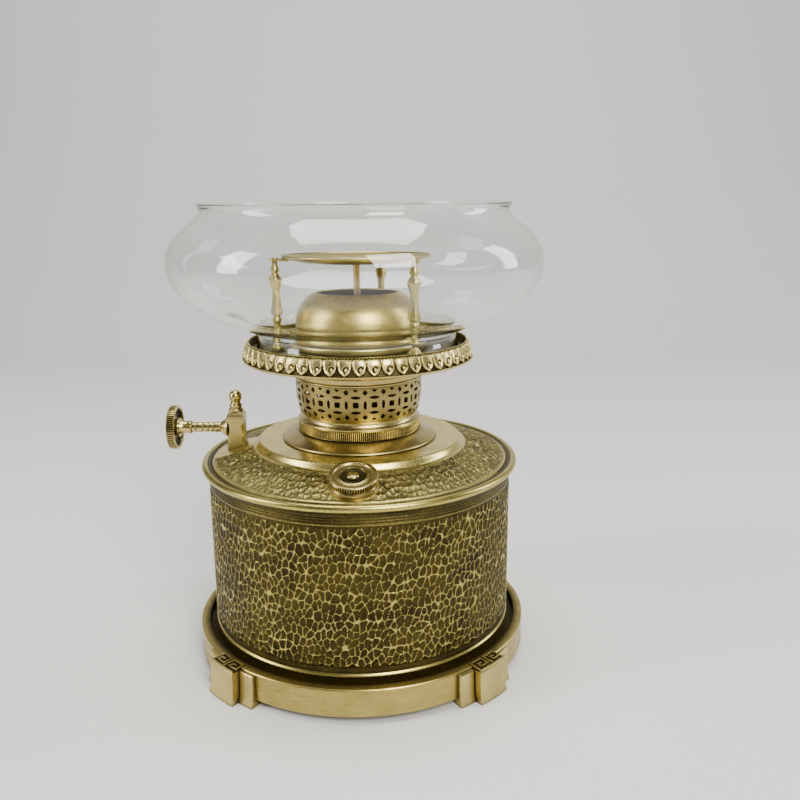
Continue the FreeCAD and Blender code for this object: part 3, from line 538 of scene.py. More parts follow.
foot_pad = soften([(82.6, 0.0), (91.9, 0.0, 0.4), (92.0, 1.0, 0.6), (91.2, 3.4, 2.5), (90.8, 9.0, 3), (90.7, 14.6, 1.5),
                   (90.8, 16.0, 0.3), (90.4, 16.9, 0.2), (89.6, 16.95, 0.1), (89.4, 16.3, 0.1), (82.6, 16.3)], 0.3)
foot_step = soften([(82.6, 0.0), (88.0, 0.0, 0.4), (88.1, 1.0, 0.6), (87.2, 3.4, 2.5), (86.8, 9.0, 3), (86.7, 15.4, 0.4),
                    (86.3, 16.3, 0.2), (82.6, 16.3)], 0.3)
key = [
    # a square spiral and its neighbour, linked along the outer edge
    [(-7.9, 90.0), (-7.9, 83.1), (-1.0, 83.1), (-1.0, 87.9), (-5.6, 87.9), (-5.6, 85.5), (-3.2, 85.5)],
    [(0.9, 90.0), (0.9, 83.1), (7.9, 83.1), (7.9, 87.7), (3.3, 87.7), (3.3, 85.4), (5.6, 85.4)],
    [(-8.4, 90.1), (8.4, 90.1)],
]
feet = []
for k in range(4):
    parts = [sector(foot_pad, -5.75, 5.75, 24)]
    for side in (-1, 1):
        a0, a1 = sorted((side * 6.0, side * 11.6))
        parts.append(sector(foot_step, a0, a1, 14))
    # the narrow valley between the pad and the lower step
    valley = [(82.6, 0.4), (86.3, 0.4), (85.9, 15.9), (82.6, 15.9)]
    parts.append(sector(valley, -6.4, 6.4, 24))
    for path in key:
        dense = [path[0]]
        for a, b in zip(path, path[1:]):
            n = max(1, int(abs(b[0] - a[0]) / 1.5))
            dense += [(a[0] + (b[0] - a[0]) * j / n, a[1] + (b[1] - a[1]) * j / n) for j in range(1, n + 1)]
        parts.append(ribbon(dense, 1.05, 16.9, 17.75))
    v, f = joined(parts)
    turn = Matrix.Rotation(math.radians(45 + 90 * k), 4, "Z")
    ob = make("stand_foot_%d" % (k + 1), v, f, "stand", CAST, ["stand_feet"] if k == 0 else (), 32, turn)
    bev = ob.modifiers.new("edges", "BEVEL")
    bev.width, bev.segments, bev.limit_method, bev.angle_limit = 0.00016, 2, "ANGLE", math.radians(50)
    feet.append(ob)
    # painted shade: a near-black sheet fills the fret's sunk ground between the raised key bars
    v, f = sector([(82.5, 16.0), (90.0, 16.0), (90.0, 17.14), (82.5, 17.14)], -5.7, 5.7, 24)
    make("stand_fret_painted_shade_%d" % (k + 1), v, f, "stand", PAINTED_SHADE_BLACK, (), 32, turn)


# ------------------------------------------------------------------ hammered tank
def cells(s, t, period, t0, t1, wide, tall, lean, seed):
    """Hammer marks on a sheet s (wraps at period) by t. Returns depth-like height 0..1 and ridge 0..1."""
    rng = np.random.default_rng(seed)
    slow = np.zeros(s.shape)
    worn = np.zeros(s.shape)
    for _ in range(7):
        a, b, c = rng.integers(10, 46) * TAU / period, rng.uniform(-1.3, 1.3), rng.uniform(0, TAU)
        slow = slow + np.sin(a * s + b * t + c) / 7
    for _ in range(6):
        a, b, c = rng.integers(3, 26) * TAU / period, rng.uniform(-0.45, 0.45), rng.uniform(0, TAU)
        worn = worn + np.sin(a * s + b * t + c) / 6
    s0, t0_ = s, t
    s = s + 0.65 * slow
    t = t + 0.65 * np.roll(slow, s.shape[1] // 3, 1)
    nx = int(round(period / wide))
    ny = int(round((t1 - t0) / tall)) + 2
    wx, wy = period / nx, tall
    jx = rng.uniform(-0.36, 0.36, (nx, ny))
    jy = rng.uniform(-0.38, 0.38, (nx, ny))
    ang = np.radians(lean + rng.normal(0, 16, (nx, ny)))
    stretch = rng.uniform(0.85, 1.25, (nx, ny))
    depth = rng.uniform(0.75, 1.15, (nx, ny))
    ix = np.floor(s / wx).astype(int)
    iy = np.floor((t - t0) / wy + 0.5).astype(int)
    f1 = np.full(s.shape, 9e9)
    f2 = np.full(s.shape, 9e9)
    d1 = np.ones(s.shape)
    for dx in (-2, -1, 0, 1, 2):
        for dy in (-2, -1, 0, 1, 2):
            cx, cy = ix + dx, np.clip(iy + dy, 0, ny - 1)
            i, j = cx % nx, cy
            off = 0.5 * (j % 2)
            px = (cx + 0.5 + off + jx[i, j]) * wx
            py = t0 + (iy + dy + jy[i, j]) * wy
            u, v = s - px, t - py
            ca, sa = np.cos(ang[i, j]), np.sin(ang[i, j])
            e1 = (u * ca + v * sa) / (wx * 0.62)
            e2 = (-u * sa + v * ca) / (wy * 0.62 * stretch[i, j])
            d = np.sqrt(e1 * e1 + e2 * e2)
            closer = d < f1
            f2 = np.where(closer, f1, np.minimum(f2, d))
            d1 = np.where(closer, depth[i, j], d1)
            f1 = np.where(closer, d, f1)
    gap = f2 - f1
    line = np.exp(-(gap / (0.165 + 0.07 * worn)) ** 2)
    knot = np.clip((f1 - 1.00 - 0.12 * worn) / 0.34, 0, 1)
    ridge = np.clip(np.maximum(line * (0.90 + 0.22 * worn), 0.9 * knot * knot * (3 - 2 * knot)), 0, 1)
    bowl = np.clip(f1 / 0.95, 0, 1) ** 2.2
    height = (0.62 * bowl + 0.38 * ridge) * (0.8 + 0.2 * d1)
    return np.clip(height, 0, 1.1), ridge


def tank_side():
    seg = 1200
    th = np.arange(seg) * TAU / seg
    zs = np.arange(22.9, 90.9, 0.44)
    T, Z = np.meshgrid(th, zs)
    h, ridge = cells(T * 76.8, Z, TAU * 76.8, 21.5, 92.0, 3.05, 4.5, -14.0, 7)
    fade = np.clip(np.minimum(Z - 22.9, 90.5 - Z) / 0.9, 0, 1)
    R = 76.15 + 0.75 * h * fade
    rings = [(R[i], np.full(seg, zs[i]), ridge[i] * fade[i] + 0.15 * (1 - fade[i])) for i in range(len(zs))]
    flat = lambda r, z, w=0.8: (np.full(seg, r), np.full(seg, z), np.full(seg, w))
    low = [flat(*q) for q in [(75.25, 13.1), (76.3, 13.1), (76.4, 13.4), (76.4, 18.0), (76.8, 18.3), (77.05, 18.9),
                              (76.8, 19.5), (76.35, 19.8)]]
    low += [flat(76.3, 20.3, 0.1), flat(76.3, 22.2, 0.1), flat(76.15, 22.6, 0.1)]
    high = [flat(76.2, 91.0, 0.05), flat(76.6, 91.3, 0.50), flat(76.65, 91.6, 0.45)]
    # patina and painted shade: the grooved band under the rim bead is kept dark in its grooves, standing in for shade
    # under the bead as well as old colour
    for c in (92.6, 93.9, 95.2):
        high += [flat(76.66, c - 0.40, 0.34), flat(76.36, c - 0.12, 0.0), flat(76.36, c + 0.12, 0.0), flat(76.66, c + 0.40, 0.30)]
    high += [flat(76.6, 96.4, 0.22), flat(76.9, 97.0, 0.18), flat(77.4, 97.5, 0.1), flat(78.1, 97.8, 0.1), flat(78.4, 98.05, 0.4)]
    high += [flat(78.2 + 1.85 * math.cos(math.radians(a)), 99.9 + 1.85 * math.sin(math.radians(a)), 0.9)
             for a in range(-75, 106, 15)]
    high += [flat(77.3, 101.3, 0.5), flat(76.9, 100.95, 0.15), flat(75.9, 100.85, 0.1), flat(75.3, 100.9, 0.1), flat(75.25, 99.0, 0.1)]
    rings = low + rings + high
    verts = np.concatenate([np.stack([r * np.sin(th), -r * np.cos(th), z], 1) for r, z, _ in rings])
    attr = np.concatenate([w for _, _, w in rings])
    n = len(rings)
    k = np.arange(n)
    A = (k[:, None] * seg + np.arange(seg)[None]).astype(int)
    B = np.roll(A, -1, 1)
    A2, B2 = np.roll(A, -1, 0), np.roll(B, -1, 0)
    faces = np.stack([A, B, B2, A2], -1).reshape(-1, 4).tolist()
    make("tank_side_hammered", verts, faces, "tank", HAMMERED, ["tank_side"], 60, attrs={"ridge": attr})


def shoulder_z(r):
    """Height of the tank's shoulder, a shallow crowned cone."""
    t = (74.3 - r) / (74.3 - 53.2)
    return 101.6 + 6.6 * t + 0.2 * 4 * t * (1 - t)


def tank_top():
    seg = 1008
    th = np.arange(seg) * TAU / seg
    rs = np.arange(73.6, 53.9, -0.42)
    T, R = np.meshgrid(th, rs)
    h, ridge = cells(T * 64.0, R, TAU * 64.0, 52.5, 75.0, 2.9, 3.9, 20.0, 11)
    fade = np.clip(np.minimum(R - 54.2, 73.5 - R) / 0.8, 0, 1)
    x, y = R * np.sin(T), -R * np.cos(T)
    # smooth seats round the filler neck and the raiser's post
    cap = np.clip((np.hypot(x, y + 62.3) - 11.2) / 0.8, 0, 1)
    dx, dy = x + 63.0, y
    seat = np.clip((np.hypot(dy / 12.5, np.maximum(np.abs(dx + 1.0) - 5.0, 0) / 7.0) - 0.85) / 0.18, 0, 1)
    fade = fade * cap * seat
    Z = shoulder_z(R) - 0.62 * fade + 0.66 * h * fade
    ridge = ridge * fade + 0.85 * (1 - cap * seat) + 0.45 * (1 - np.clip(np.minimum(R - 54.2, 73.5 - R) / 0.8, 0, 1)) * cap * seat
    rings = [(R[i], Z[i], ridge[i]) for i in range(len(rs))]
    flat = lambda r, z, w=0.85: (np.full(seg, r), np.full(seg, z), np.full(seg, w))
    outer = [flat(73.9, 98.1, 0.1), flat(75.05, 98.1, 0.1), flat(75.05, 100.9, 0.1), flat(74.8, 101.3, 0.3), flat(74.3, 101.55, 0.7)]
    inner = [flat(*q) for q in [(53.6, shoulder_z(53.6)), (53.1, 108.25), (52.7, 108.45), (52.35, 108.75), (52.1, 109.2),
                                (51.7, 109.9), (51.35, 110.6), (51.1, 111.0), (50.8, 111.3), (50.35, 111.42), (49.8, 111.42),
                                (40.0, 111.3), (38.0, 111.3), (28.1, 111.3), (28.1, 110.3), (49.9, 110.2), (50.9, 108.1),
                                (52.5, 106.9), (63.4, 103.75), (73.9, 100.3)]]
    rings = outer + rings + inner
    verts = np.concatenate([np.stack([r * np.sin(th), -r * np.cos(th), z], 1) for r, z, _ in rings])
    attr = np.concatenate([w for _, _, w in rings])
    n = len(rings)
    A = (np.arange(n)[:, None] * seg + np.arange(seg)[None]).astype(int)
    B = np.roll(A, -1, 1)
    A2, B2 = np.roll(A, -1, 0), np.roll(B, -1, 0)
    faces = np.stack([A, B, B2, A2], -1).reshape(-1, 4).tolist()
    make("tank_top_hammered", verts, faces, "tank", SHOULDER_PAINTED_LIGHT, ["tank_top"], 60, attrs={"ridge": attr})


tank_side()
tank_top()

lathe("burner_collar_turned", [
    (26.1, 104.5), (27.9, 104.5), (27.9, 111.45), (38.9, 111.45, 0.2), (39.25, 111.75, 0.25), (38.9, 112.35, 0.3),
    (38.2, 112.75, 0.4), (32.3, 114.95, 0.8), (31.2, 115.15, 0.3), (30.9, 115.3), (26.1, 115.3)],
    "tank", BRUSHED, ["burner_collar"], seg=224, anchor="burner_collar")

# ------------------------------------------------------------------ filler
tilt = math.radians(16.8)
axis_v = Vector((0, -math.sin(tilt), math.cos(tilt)))
filler_base = Vector((0, -62.3, 105.55)) - axis_v * 5.0
FILL = Matrix.Translation(filler_base * MM) @ Matrix.Rotation(tilt, 4, "X")


def knurl(count, depth, lo, hi, least, dark=()):
    """Straight knurling between two heights of an outline, outside a radius. The grooves and the stretches listed in
    dark get darker colour, partly patina and partly painted shade.
    """
    def f(th, k, r, z):
        tint = np.ones_like(th)
        for r0, r1, z0, z1, v in dark:
            if r0 <= r <= r1 and z0 <= z <= z1:
                tint = np.full_like(th, v)
        if not (lo <= z <= hi and r >= least):
            return np.zeros_like(th), tint
        w = 0.5 - 0.5 * np.clip(np.cos(th * count) * 1.6, -1, 1)
        return -depth * w, 1.0 - 0.95 * w
    return f


lathe("filler_neck_turned", [(6.0, 1.0), (7.6, 1.0), (7.6, 4.0), (9.0, 4.2), (10.9, 4.4), (10.95, 5.0, 0.3), (10.6, 6.2, 0.6), (10.2, 6.9, 0.4),
                             (9.8, 7.1), (7.6, 7.1), (7.6, 8.35), (6.0, 8.35)],
      "tank", TURNED, ["filler_neck"], seg=128, place=FILL)
# patina and painted shade: the cap's dish and the ring round it are kept near the dark colour
lathe("filler_cap_knurled", [
    (0, 3.4), (5.3, 3.4), (5.7, 3.8), (5.7, 9.0), (7.9, 9.0), (7.9, 7.28), (10.7, 7.28, 0.2), (11.0, 7.45, 0.15),
    (11.35, 7.7, 0.06), (11.35, 9.95, 0.06), (11.1, 10.35, 0.12), (10.8, 10.55, 0.2), (9.5, 10.6, 0.25), (9.1, 10.45, 0.2), (8.8, 10.0, 0.4),
    (7.9, 9.75, 0.6), (6.9, 9.85, 0.4), (6.35, 10.15, 0.15), (6.0, 10.1, 0.12), (5.85, 9.3, 0.12), (5.3, 9.0, 0.3), (2.6, 9.0), (0, 9.0)],
    "filler_cap", FILLER, ["filler_cap"], seg=62 * 8, place=FILL, closed=False, smooth=28,
    wobble=knurl(62, 0.45, 7.6, 10.05, 11.0, [(0, 5.9, 8.9, 9.8, 0.05), (6.4, 8.85, 9.7, 10.1, 0.55)]))
lathe("cap_button_turned", [(0, 8.9), (2.3, 8.9), (2.65, 9.2, 0.1), (2.75, 9.9, 0.2), (2.5, 10.5, 0.5), (1.6, 10.86, 0.8), (0, 10.95)],
      "filler_cap", TURNED, ["cap_button"], seg=48, place=FILL, closed=False)

# ------------------------------------------------------------------ raiser post, shaft and wheel
PX = -63.0


def post():
    """Square post with stop-chamfered edges and a bevelled top."""
    h = 4.3
    levels = [(102.4, h, 0.06), (106.4, h, 0.06), (107.2, h, 0.5), (108.2, h, 1.25), (117.6, h, 1.25), (118.6, h, 0.5),
              (119.3, h, 0.06), (121.9, h, 0.06), (122.3, 4.22, 0.06), (123.8, 3.35, 0.06), (124.0, 3.1, 0.06)]
    verts, faces = [], []
    for z, w, c in levels:
        for x, y in [(-w + c, -w), (w - c, -w), (w, -w + c), (w, w - c), (w - c, w), (-w + c, w), (-w, w - c), (-w, -w + c)]:
            verts.append((PX + x, y, z))
    for i in range(len(levels) - 1):
        for k in range(8):
            a, b = i * 8 + k, i * 8 + (k + 1) % 8
            faces.append((a, b, b + 8, a + 8))
    faces.append(tuple(reversed(range(8))))
    faces.append(tuple(range(8 * (len(levels) - 1), 8 * len(levels))))
    ob = make("rack_post_block", verts, faces, "tank", CAST, ["rack_post"], 25)
    bev = ob.modifiers.new("edges", "BEVEL")
    bev.width, bev.segments, bev.limit_method, bev.angle_limit = 0.00022, 2, "ANGLE", math.radians(20)


post()
up = Matrix.Translation(Vector((PX, 0, 124.0)) * MM)
lathe("post_finial_turned", [(0, 0), (3.4, 0, 0.1), (3.75, 0.35, 0.2), (3.75, 1.2, 0.25), (3.1, 1.6, 0.2), (2.75, 1.95, 0.15), (3.15, 2.35, 0.2),
                             (3.2, 3.3, 0.35), (2.75, 3.9, 0.25), (2.45, 4.3, 0.3), (2.5, 4.9, 0.3)]
      + arc(0, 7.6, 3.3, -40, 90, 14),
      "tank", TURNED, ["post_finial"], seg=64, place=up, closed=False)
OUT = Matrix.Translation(Vector((PX, 0, 115.5)) * MM) @ Matrix.Rotation(math.radians(-90), 4, "Y")
OUT5 = Matrix.Translation(Vector((PX + 5, 0, 115.5)) * MM) @ Matrix.Rotation(math.radians(-90), 4, "Y")
lathe("shaft_gland_turned", [(2.3, 4.3), (4.7, 4.3, 0.1), (4.85, 4.9, 0.3), (4.4, 5.6, 0.4), (3.6, 6.7, 0.8), (2.9, 7.9, 0.2), (1.25, 8.0), (1.25, 7.2), (2.3, 7.2)],
      "tank", KNOB, ["shaft_gland"], seg=64, place=OUT)
shaft = [(0, 1.0), (1.2, 1.0), (1.2, 13.0), (2.55, 13.0, 0.1)]
for c in (16.6, 19.2, 22.2, 25.6):
    shaft += [(2.55, c - 0.34, 0.06), (2.15, c - 0.18, 0.05), (2.15, c + 0.18, 0.05), (2.55, c + 0.34, 0.06)]
shaft += [(2.55, 28.0, 0.05), (1.8, 28.0), (1.8, 38.6), (0, 38.6)]
lathe("knob_shaft_turned", shaft, "wick_knob", KNOB, ["knob_shaft"], seg=64, place=OUT5, closed=False)
lathe("knob_hub_turned", [
    (1.8, 28.0), (3.1, 28.0, 0.15), (3.4, 28.3, 0.2), (3.35, 29.0, 0.8), (3.1, 30.4, 1.5), (3.3, 32.2, 1.0), (3.75, 33.6, 0.3), (3.9, 34.0, 0.1),
    (4.7, 34.0, 0.2), (4.9, 34.4, 0.2), (4.9, 35.2, 0.2), (4.4, 35.6, 0.2), (4.2, 36.4), (1.8, 36.4)],
    "wick_knob", KNOB, ["knob_hub"], seg=72, place=OUT5)
# patina and painted shade: the wheel's face towards the tank is kept dark
lathe("knob_wheel_knurled", [
    (1.8, 36.4), (4.6, 36.4, 0.3), (6.0, 36.7, 0.6), (8.2, 36.6, 1), (9.3, 35.9, 0.5), (9.75, 34.9, 0.25), (10.3, 34.65, 0.2), (10.9, 34.7, 0.2), (11.2, 35.0, 0.06),
    (11.2, 38.4, 0.06), (10.9, 38.75, 0.2), (10.0, 38.8, 0.25), (8.0, 38.2, 1), (6.0, 37.9, 0.5), (3.2, 38.0, 0.4), (2.9, 38.6, 0.3), (1.8, 38.7)],
    "wick_knob", KNURLX, ["knob_wheel"], seg=60 * 8, place=OUT5, smooth=28,
    wobble=knurl(60, 0.5, 34.85, 38.55, 10.95, [(4.7, 9.7, 34.9, 36.8, 0.12), (9.7, 10.2, 34.6, 35.0, 0.6)]))

# ------------------------------------------------------------------ burner
lathe("burner_ring_knurled", [
    (16.4, 116.6), (24.2, 116.6), (24.2, 106.0), (25.7, 106.0), (25.7, 116.1), (29.7, 116.1), (29.7, 115.75),
    (30.3, 115.75, 0.1), (30.75, 116.0, 0.12), (30.9, 116.2, 0.08), (30.9, 118.0, 0), (30.9, 120.4, 0.08), (31.05, 120.7, 0.1), (31.1, 121.5, 0.2), (30.6, 122.1, 0.2),
    (29.9, 122.5, 0.6), (29.35, 123.6, 1.0), (29.5, 124.9, 0.5), (29.85, 125.4, 0.1), (28.2, 125.4), (28.2, 117.7), (16.4, 117.7)],
    "burner", KNURLED, ["burner_ring"], seg=200 * 6, smooth=28, anchor="burner_ring",
    wobble=knurl(200, 0.42, 116.1, 120.5, 30.4))


def basket():
    """Pierced band: one tile with its windows cut, repeated round the burner."""
    count = 22
    half = math.pi / count
    outer = spline([(29.85, 125.4), (30.3, 126.6), (30.9, 129.2), (31.4, 132.5), (31.65, 136.0), (31.7, 139.5), (31.6, 142.3)], 4)
    nz = len(outer)
    na = 12
    verts, faces = [], []
    for shell in (0, 1):
        for i in range(na + 1):
            t = -half + 2 * half * i / na
            for r, z, _ in outer:
                rr = r - 0.9 * shell
                verts.append((rr * math.sin(t), -rr * math.cos(t), z))
    idx = lambda s, i, k: s * (na + 1) * nz + i * nz + k
    for i in range(na):
        for k in range(nz - 1):
            faces.append((idx(0, i, k), idx(0, i + 1, k), idx(0, i + 1, k + 1), idx(0, i, k + 1)))
            faces.append((idx(1, i, k + 1), idx(1, i + 1, k + 1), idx(1, i + 1, k), idx(1, i, k)))
        for k in (0, nz - 1):
            q = (idx(0, i, k), idx(1, i, k), idx(1, i + 1, k), idx(0, i + 1, k))
            faces.append(q if k == 0 else tuple(reversed(q)))
    for i in (0, na):
        for k in range(nz - 1):
            q = (idx(0, i, k), idx(0, i, k + 1), idx(1, i, k + 1), idx(1, i, k))
            faces.append(q if i == 0 else tuple(reversed(q)))
    me = bpy.data.meshes.new("tile")
    me.from_pydata(verts, [], faces)
    tile = bpy.data.objects.new("tile", me)
    bpy.context.scene.collection.objects.link(tile)

    def loop(kind, cx, cz, a, b):
        out = []
        n = 20
        for j in range(n):
            t = TAU * j / n
            if kind == "oval":
                out.append((cx + a * math.cos(t), cz + b * math.sin(t)))
            elif kind == "square":
                c, s_ = math.cos(t), math.sin(t)
                q = (abs(c) ** 5 + abs(s_) ** 5) ** (-1 / 5)
                out.append((cx + a * c * q, cz + b * s_ * q))
            elif kind == "leaf":
                c, s_ = math.cos(t), math.sin(t)
                out.append((cx + a * abs(c) ** 1.25 * (1 if c > 0 else -1), cz + b * s_))
            elif kind == "diamond":
                c, s_ = math.cos(t), math.sin(t)
                q = (abs(c) ** 1.25 + abs(s_) ** 1.25) ** (-1 / 1.25)
                out.append((cx + a * c * q, cz + b * s_ * q))
        if kind == "up":
            out = [(cx - a, cz), (cx - a * 0.55, cz - 0.05), (cx + a * 0.55, cz - 0.05), (cx + a, cz), (cx + a * 0.5, cz + b * 0.62), (cx, cz + b), (cx - a * 0.5, cz + b * 0.62)]
        if kind == "down":
            out = [(cx + a, cz), (cx + a * 0.55, cz + 0.05), (cx - a * 0.55, cz + 0.05), (cx - a, cz), (cx - a * 0.5, cz - b * 0.62), (cx, cz - b), (cx + a * 0.5, cz - b * 0.62)]
        return out

    s_half = half * 31.3
    cz = 134.1
    windows = [("square", 0, cz, 1.42, 1.42), ("leaf", 0, cz + 3.75, 2.4, 0.78), ("leaf", 0, cz - 3.75, 2.4, 0.78),
               ("up", 0, cz - 7.55, 1.35, 1.3), ("down", 0, cz + 7.6, 1.35, 1.25)]
    side = [("tall", 0.82, 2.15), ("diamond", 1.3, 1.35)]
    for sgn in (-1, 1):
        windows.append(("oval", sgn * s_half, cz, 0.8, 2.15))
        windows.append(("diamond", sgn * s_half, cz + 6.15, 1.25, 1.35))
        windows.append(("diamond", sgn * s_half, cz - 6.15, 1.25, 1.35))
    cv, cf = [], []
    for kind, cx, c2, a, b in windows:
        pts = loop(kind, cx, c2, a, b)
        base, n = len(cv), len(pts)
        for rr in (27.0, 35.0):
            for s_, z in pts:
                t = s_ / 31.3
                cv.append((rr * math.sin(t), -rr * math.cos(t), z))
        for j in range(n):
            j2 = (j + 1) % n
            cf.append((base + j, base + j2, base + n + j2, base + n + j))
        cf.append(tuple(base + j for j in reversed(range(n))))
        cf.append(tuple(base + n + j for j in range(n)))
    cm = bpy.data.meshes.new("cutters")
    cm.from_pydata(cv, [], cf)
    cb = bmesh.new()
    cb.from_mesh(cm)
    bmesh.ops.recalc_face_normals(cb, faces=cb.faces)
    cb.to_mesh(cm)
    cb.free()
    cutters = bpy.data.objects.new("cutters", cm)
    bpy.context.scene.collection.objects.link(cutters)
    tb = bmesh.new()
    tb.from_mesh(me)
    bmesh.ops.recalc_face_normals(tb, faces=tb.faces)
    tb.to_mesh(me)
    tb.free()
    mod = tile.modifiers.new("cut", "BOOLEAN")
    mod.operation, mod.solver, mod.object = "DIFFERENCE", "EXACT", cutters
    bpy.context.view_layer.update()
    dg = bpy.context.evaluated_depsgraph_get()
    cut = bpy.data.meshes.new_from_object(tile.evaluated_get(dg))
    bm = bmesh.new()
    bm.from_mesh(cut)
    # the tile's two side walls go, so that neighbours join
    dead = []
    for f in bm.faces:
        angs = [math.atan2(v.co.x, -v.co.y) for v in f.verts]
        if all(abs(abs(a) - half) < 1e-4 for a in angs) and (max(angs) - min(angs)) < 1e-3:
            dead.append(f)
    bmesh.ops.delete(bm, geom=dead, context="FACES_ONLY")
    bm.verts.index_update()
    tv = [v.co.copy() for v in bm.verts]
    tf = [[v.index for v in f.verts] for f in bm.faces]
    bm.free()
    bpy.data.objects.remove(tile)
    bpy.data.objects.remove(cutters)
    verts, faces = [], []
    for c in range(count):
        m = Matrix.Rotation(TAU * c / count, 3, "Z")
        base = len(verts)
        verts += [tuple(m @ v) for v in tv]
        faces += [tuple(base + i for i in f) for f in tf]
    me2 = bpy.data.meshes.new("burner_basket_pierced")
    me2.from_pydata((np.array(verts) * MM).tolist(), [], faces)
    ob = bpy.data.objects.new("burner_basket_pierced", me2)
    bpy.context.scene.collection.objects.link(ob)
    finish_piece(ob, "burner", BASKET, ["burner_basket"], 38, merge=2e-5)
    bev = ob.modifiers.new("edges", "BEVEL")
    bev.width, bev.segments, bev.limit_method, bev.angle_limit = 0.00016, 2, "ANGLE", math.radians(50)
    bev.use_clamp_overlap = True


basket()
lathe("basket_lip_turned", [(30.8, 142.3), (31.55, 142.3, 0.05), (31.9, 142.5, 0.15), (32.35, 142.8, 0.2), (32.4, 143.4, 0.25), (32.0, 143.6, 0.1), (30.8, 143.6)],
      "burner", TURNED, seg=192)

# ------------------------------------------------------------------ gallery
lathe("gallery_collar_turned", [
    (30.9, 143.65), (32.3, 143.65, 0.2), (32.8, 144.2, 0.3), (32.9, 146.0, 0.8), (33.4, 147.1, 0.6), (34.2, 147.7, 0.3), (34.25, 148.9, 0.4), (33.5, 149.6, 0.4),
    (32.9, 150.3, 0.4), (33.2, 153.0, 1.5), (34.6, 155.5), (31.6, 155.5), (31.6, 145.0), (30.9, 145.0)],
    "gallery", BRUSHED, ["gallery_collar"], seg=208, anchor="gallery_collar")
lathe("gallery_plate_turned", [(30.0, 155.5), (54.7, 155.5), (54.7, 156.5), (30.0, 156.5)],
      "gallery", DEEP, ["gallery_plate"], seg=256, anchor="gallery_plate")


def leaf_band():
    """Cast band of leaning scrolls over a bead, fifty-four round the gallery."""
    count = 54
    seg = count * 24
    th = np.arange(seg) * TAU / seg
    u = (th * count / TAU) % 1.0
    line = spline([(57.25, 152.9), (57.0, 153.6), (56.7, 154.8), (56.25, 156.6), (55.75, 158.4), (55.2, 160.0), (54.75, 161.0)], 9)
    vs = np.linspace(0, 1, len(line))

    V = vs[:, None]
    # a broad leaf, pointed below and round above, leaning a little, with a raised edge
    wide = np.interp(vs, [0.0, 0.13, 0.22, 0.34, 0.48, 0.62, 0.74, 0.84, 0.92, 0.965, 1.0],
                     [0.0, 0.04, 0.17, 0.34, 0.46, 0.499, 0.499, 0.48, 0.38, 0.20, 0.0])[:, None]
    mid_u = 0.5 + 0.05 * (0.5 - V)
    off = (u[None] - mid_u + 0.5) % 1.0 - 0.5
    inside = 1 - np.abs(off) / np.maximum(wide, 1e-3)
    edge_mm = np.clip(inside, -1, 1) * wide * 6.2
    top_mm = np.clip((0.955 - V) * 9.0, -1, 9)
    rim_mm = np.minimum(edge_mm, top_mm)
    leaf = np.clip(rim_mm / 0.30, 0, 1)
    # the fans run into each other above the middle, with only a shallow groove between them
    merged = np.clip((V - 0.50) / 0.12, 0, 1) * np.clip(top_mm / 0.30, 0, 1)
    leaf = np.maximum(leaf, 0.72 * merged)
    raised = np.exp(-((rim_mm - 0.40) / 0.30) ** 2)
    swell = np.clip(1 - ((off / 0.36) ** 2 + ((V - 0.66) / 0.26) ** 2), 0, 1)
    cu, cv = 0.60, 0.46
    du, dv = (u[None] - cu) * 6.2, (V - cv) * 9.0
    cd = np.hypot(du, dv)
    around = np.arctan2(dv, du)
    hook = np.exp(-((cd - 0.98) / 0.30) ** 2) * np.clip((np.cos(around - 2.3) + 0.75) / 0.5, 0, 1)
    eye = np.exp(-(cd / 0.5) ** 2)
    h = leaf * np.clip(0.60 + 0.36 * raised + 0.14 * swell + 0.40 * eye - 0.58 * hook, 0, 1)
    cleft = np.exp(-((off + 0.02) / 0.04) ** 2) * np.clip((V - 0.80) / 0.12, 0, 1)
    h = h - 0.25 * cleft * leaf
    low_bead = np.exp(-((V - 0.035) / 0.06) ** 2) * np.ones_like(h)
    top_bead = 0.85 * np.exp(-((V - 0.975) / 0.035) ** 2) * (0.62 + 0.38 * np.cos(u[None] * TAU * 4))
    h = np.clip(np.maximum.reduce([h, 0.95 * low_bead, top_bead]), 0, 1)
    nrm = np.array([0.963, 0.27])
    rings = []
    for k, (r, z, _) in enumerate(line):
        d = (h[k] - 0.60) * 1.25
        rings.append((r + nrm[0] * d, z + nrm[1] * d, np.clip(h[k] * 1.35 - 0.22, 0, 1)))
    flat = lambda r, z, w=0.8: (np.full(seg, r), np.full(seg, z), np.full(seg, w))
    under = [flat(55.6, 153.5, 0.2), flat(55.55, 152.3, 0.3), flat(56.3, 151.95), flat(57.0, 152.1), flat(57.35, 152.45)]
    top = [flat(54.75, 161.35), flat(54.4, 161.4), flat(54.1, 161.15), flat(54.35, 160.0, 0.3), flat(54.6, 157.5, 0.2), flat(54.6, 155.4, 0.2)]
    rings = under + rings + top
    verts = np.concatenate([np.stack([r * np.sin(th), -r * np.cos(th), z], 1) for r, z, _ in rings])
    attr = np.concatenate([w for _, _, w in rings])
    n = len(rings)
    A = (np.arange(n)[:, None] * seg + np.arange(seg)[None]).astype(int)
    B = np.roll(A, -1, 1)
    A2, B2 = np.roll(A, -1, 0), np.roll(B, -1, 0)
    faces = np.stack([A, B, B2, A2], -1).reshape(-1, 4).tolist()
    make("gallery_rim_leaves", verts, faces, "gallery", LEAFED, ["gallery_rim"], 60, attrs={"ridge": attr})


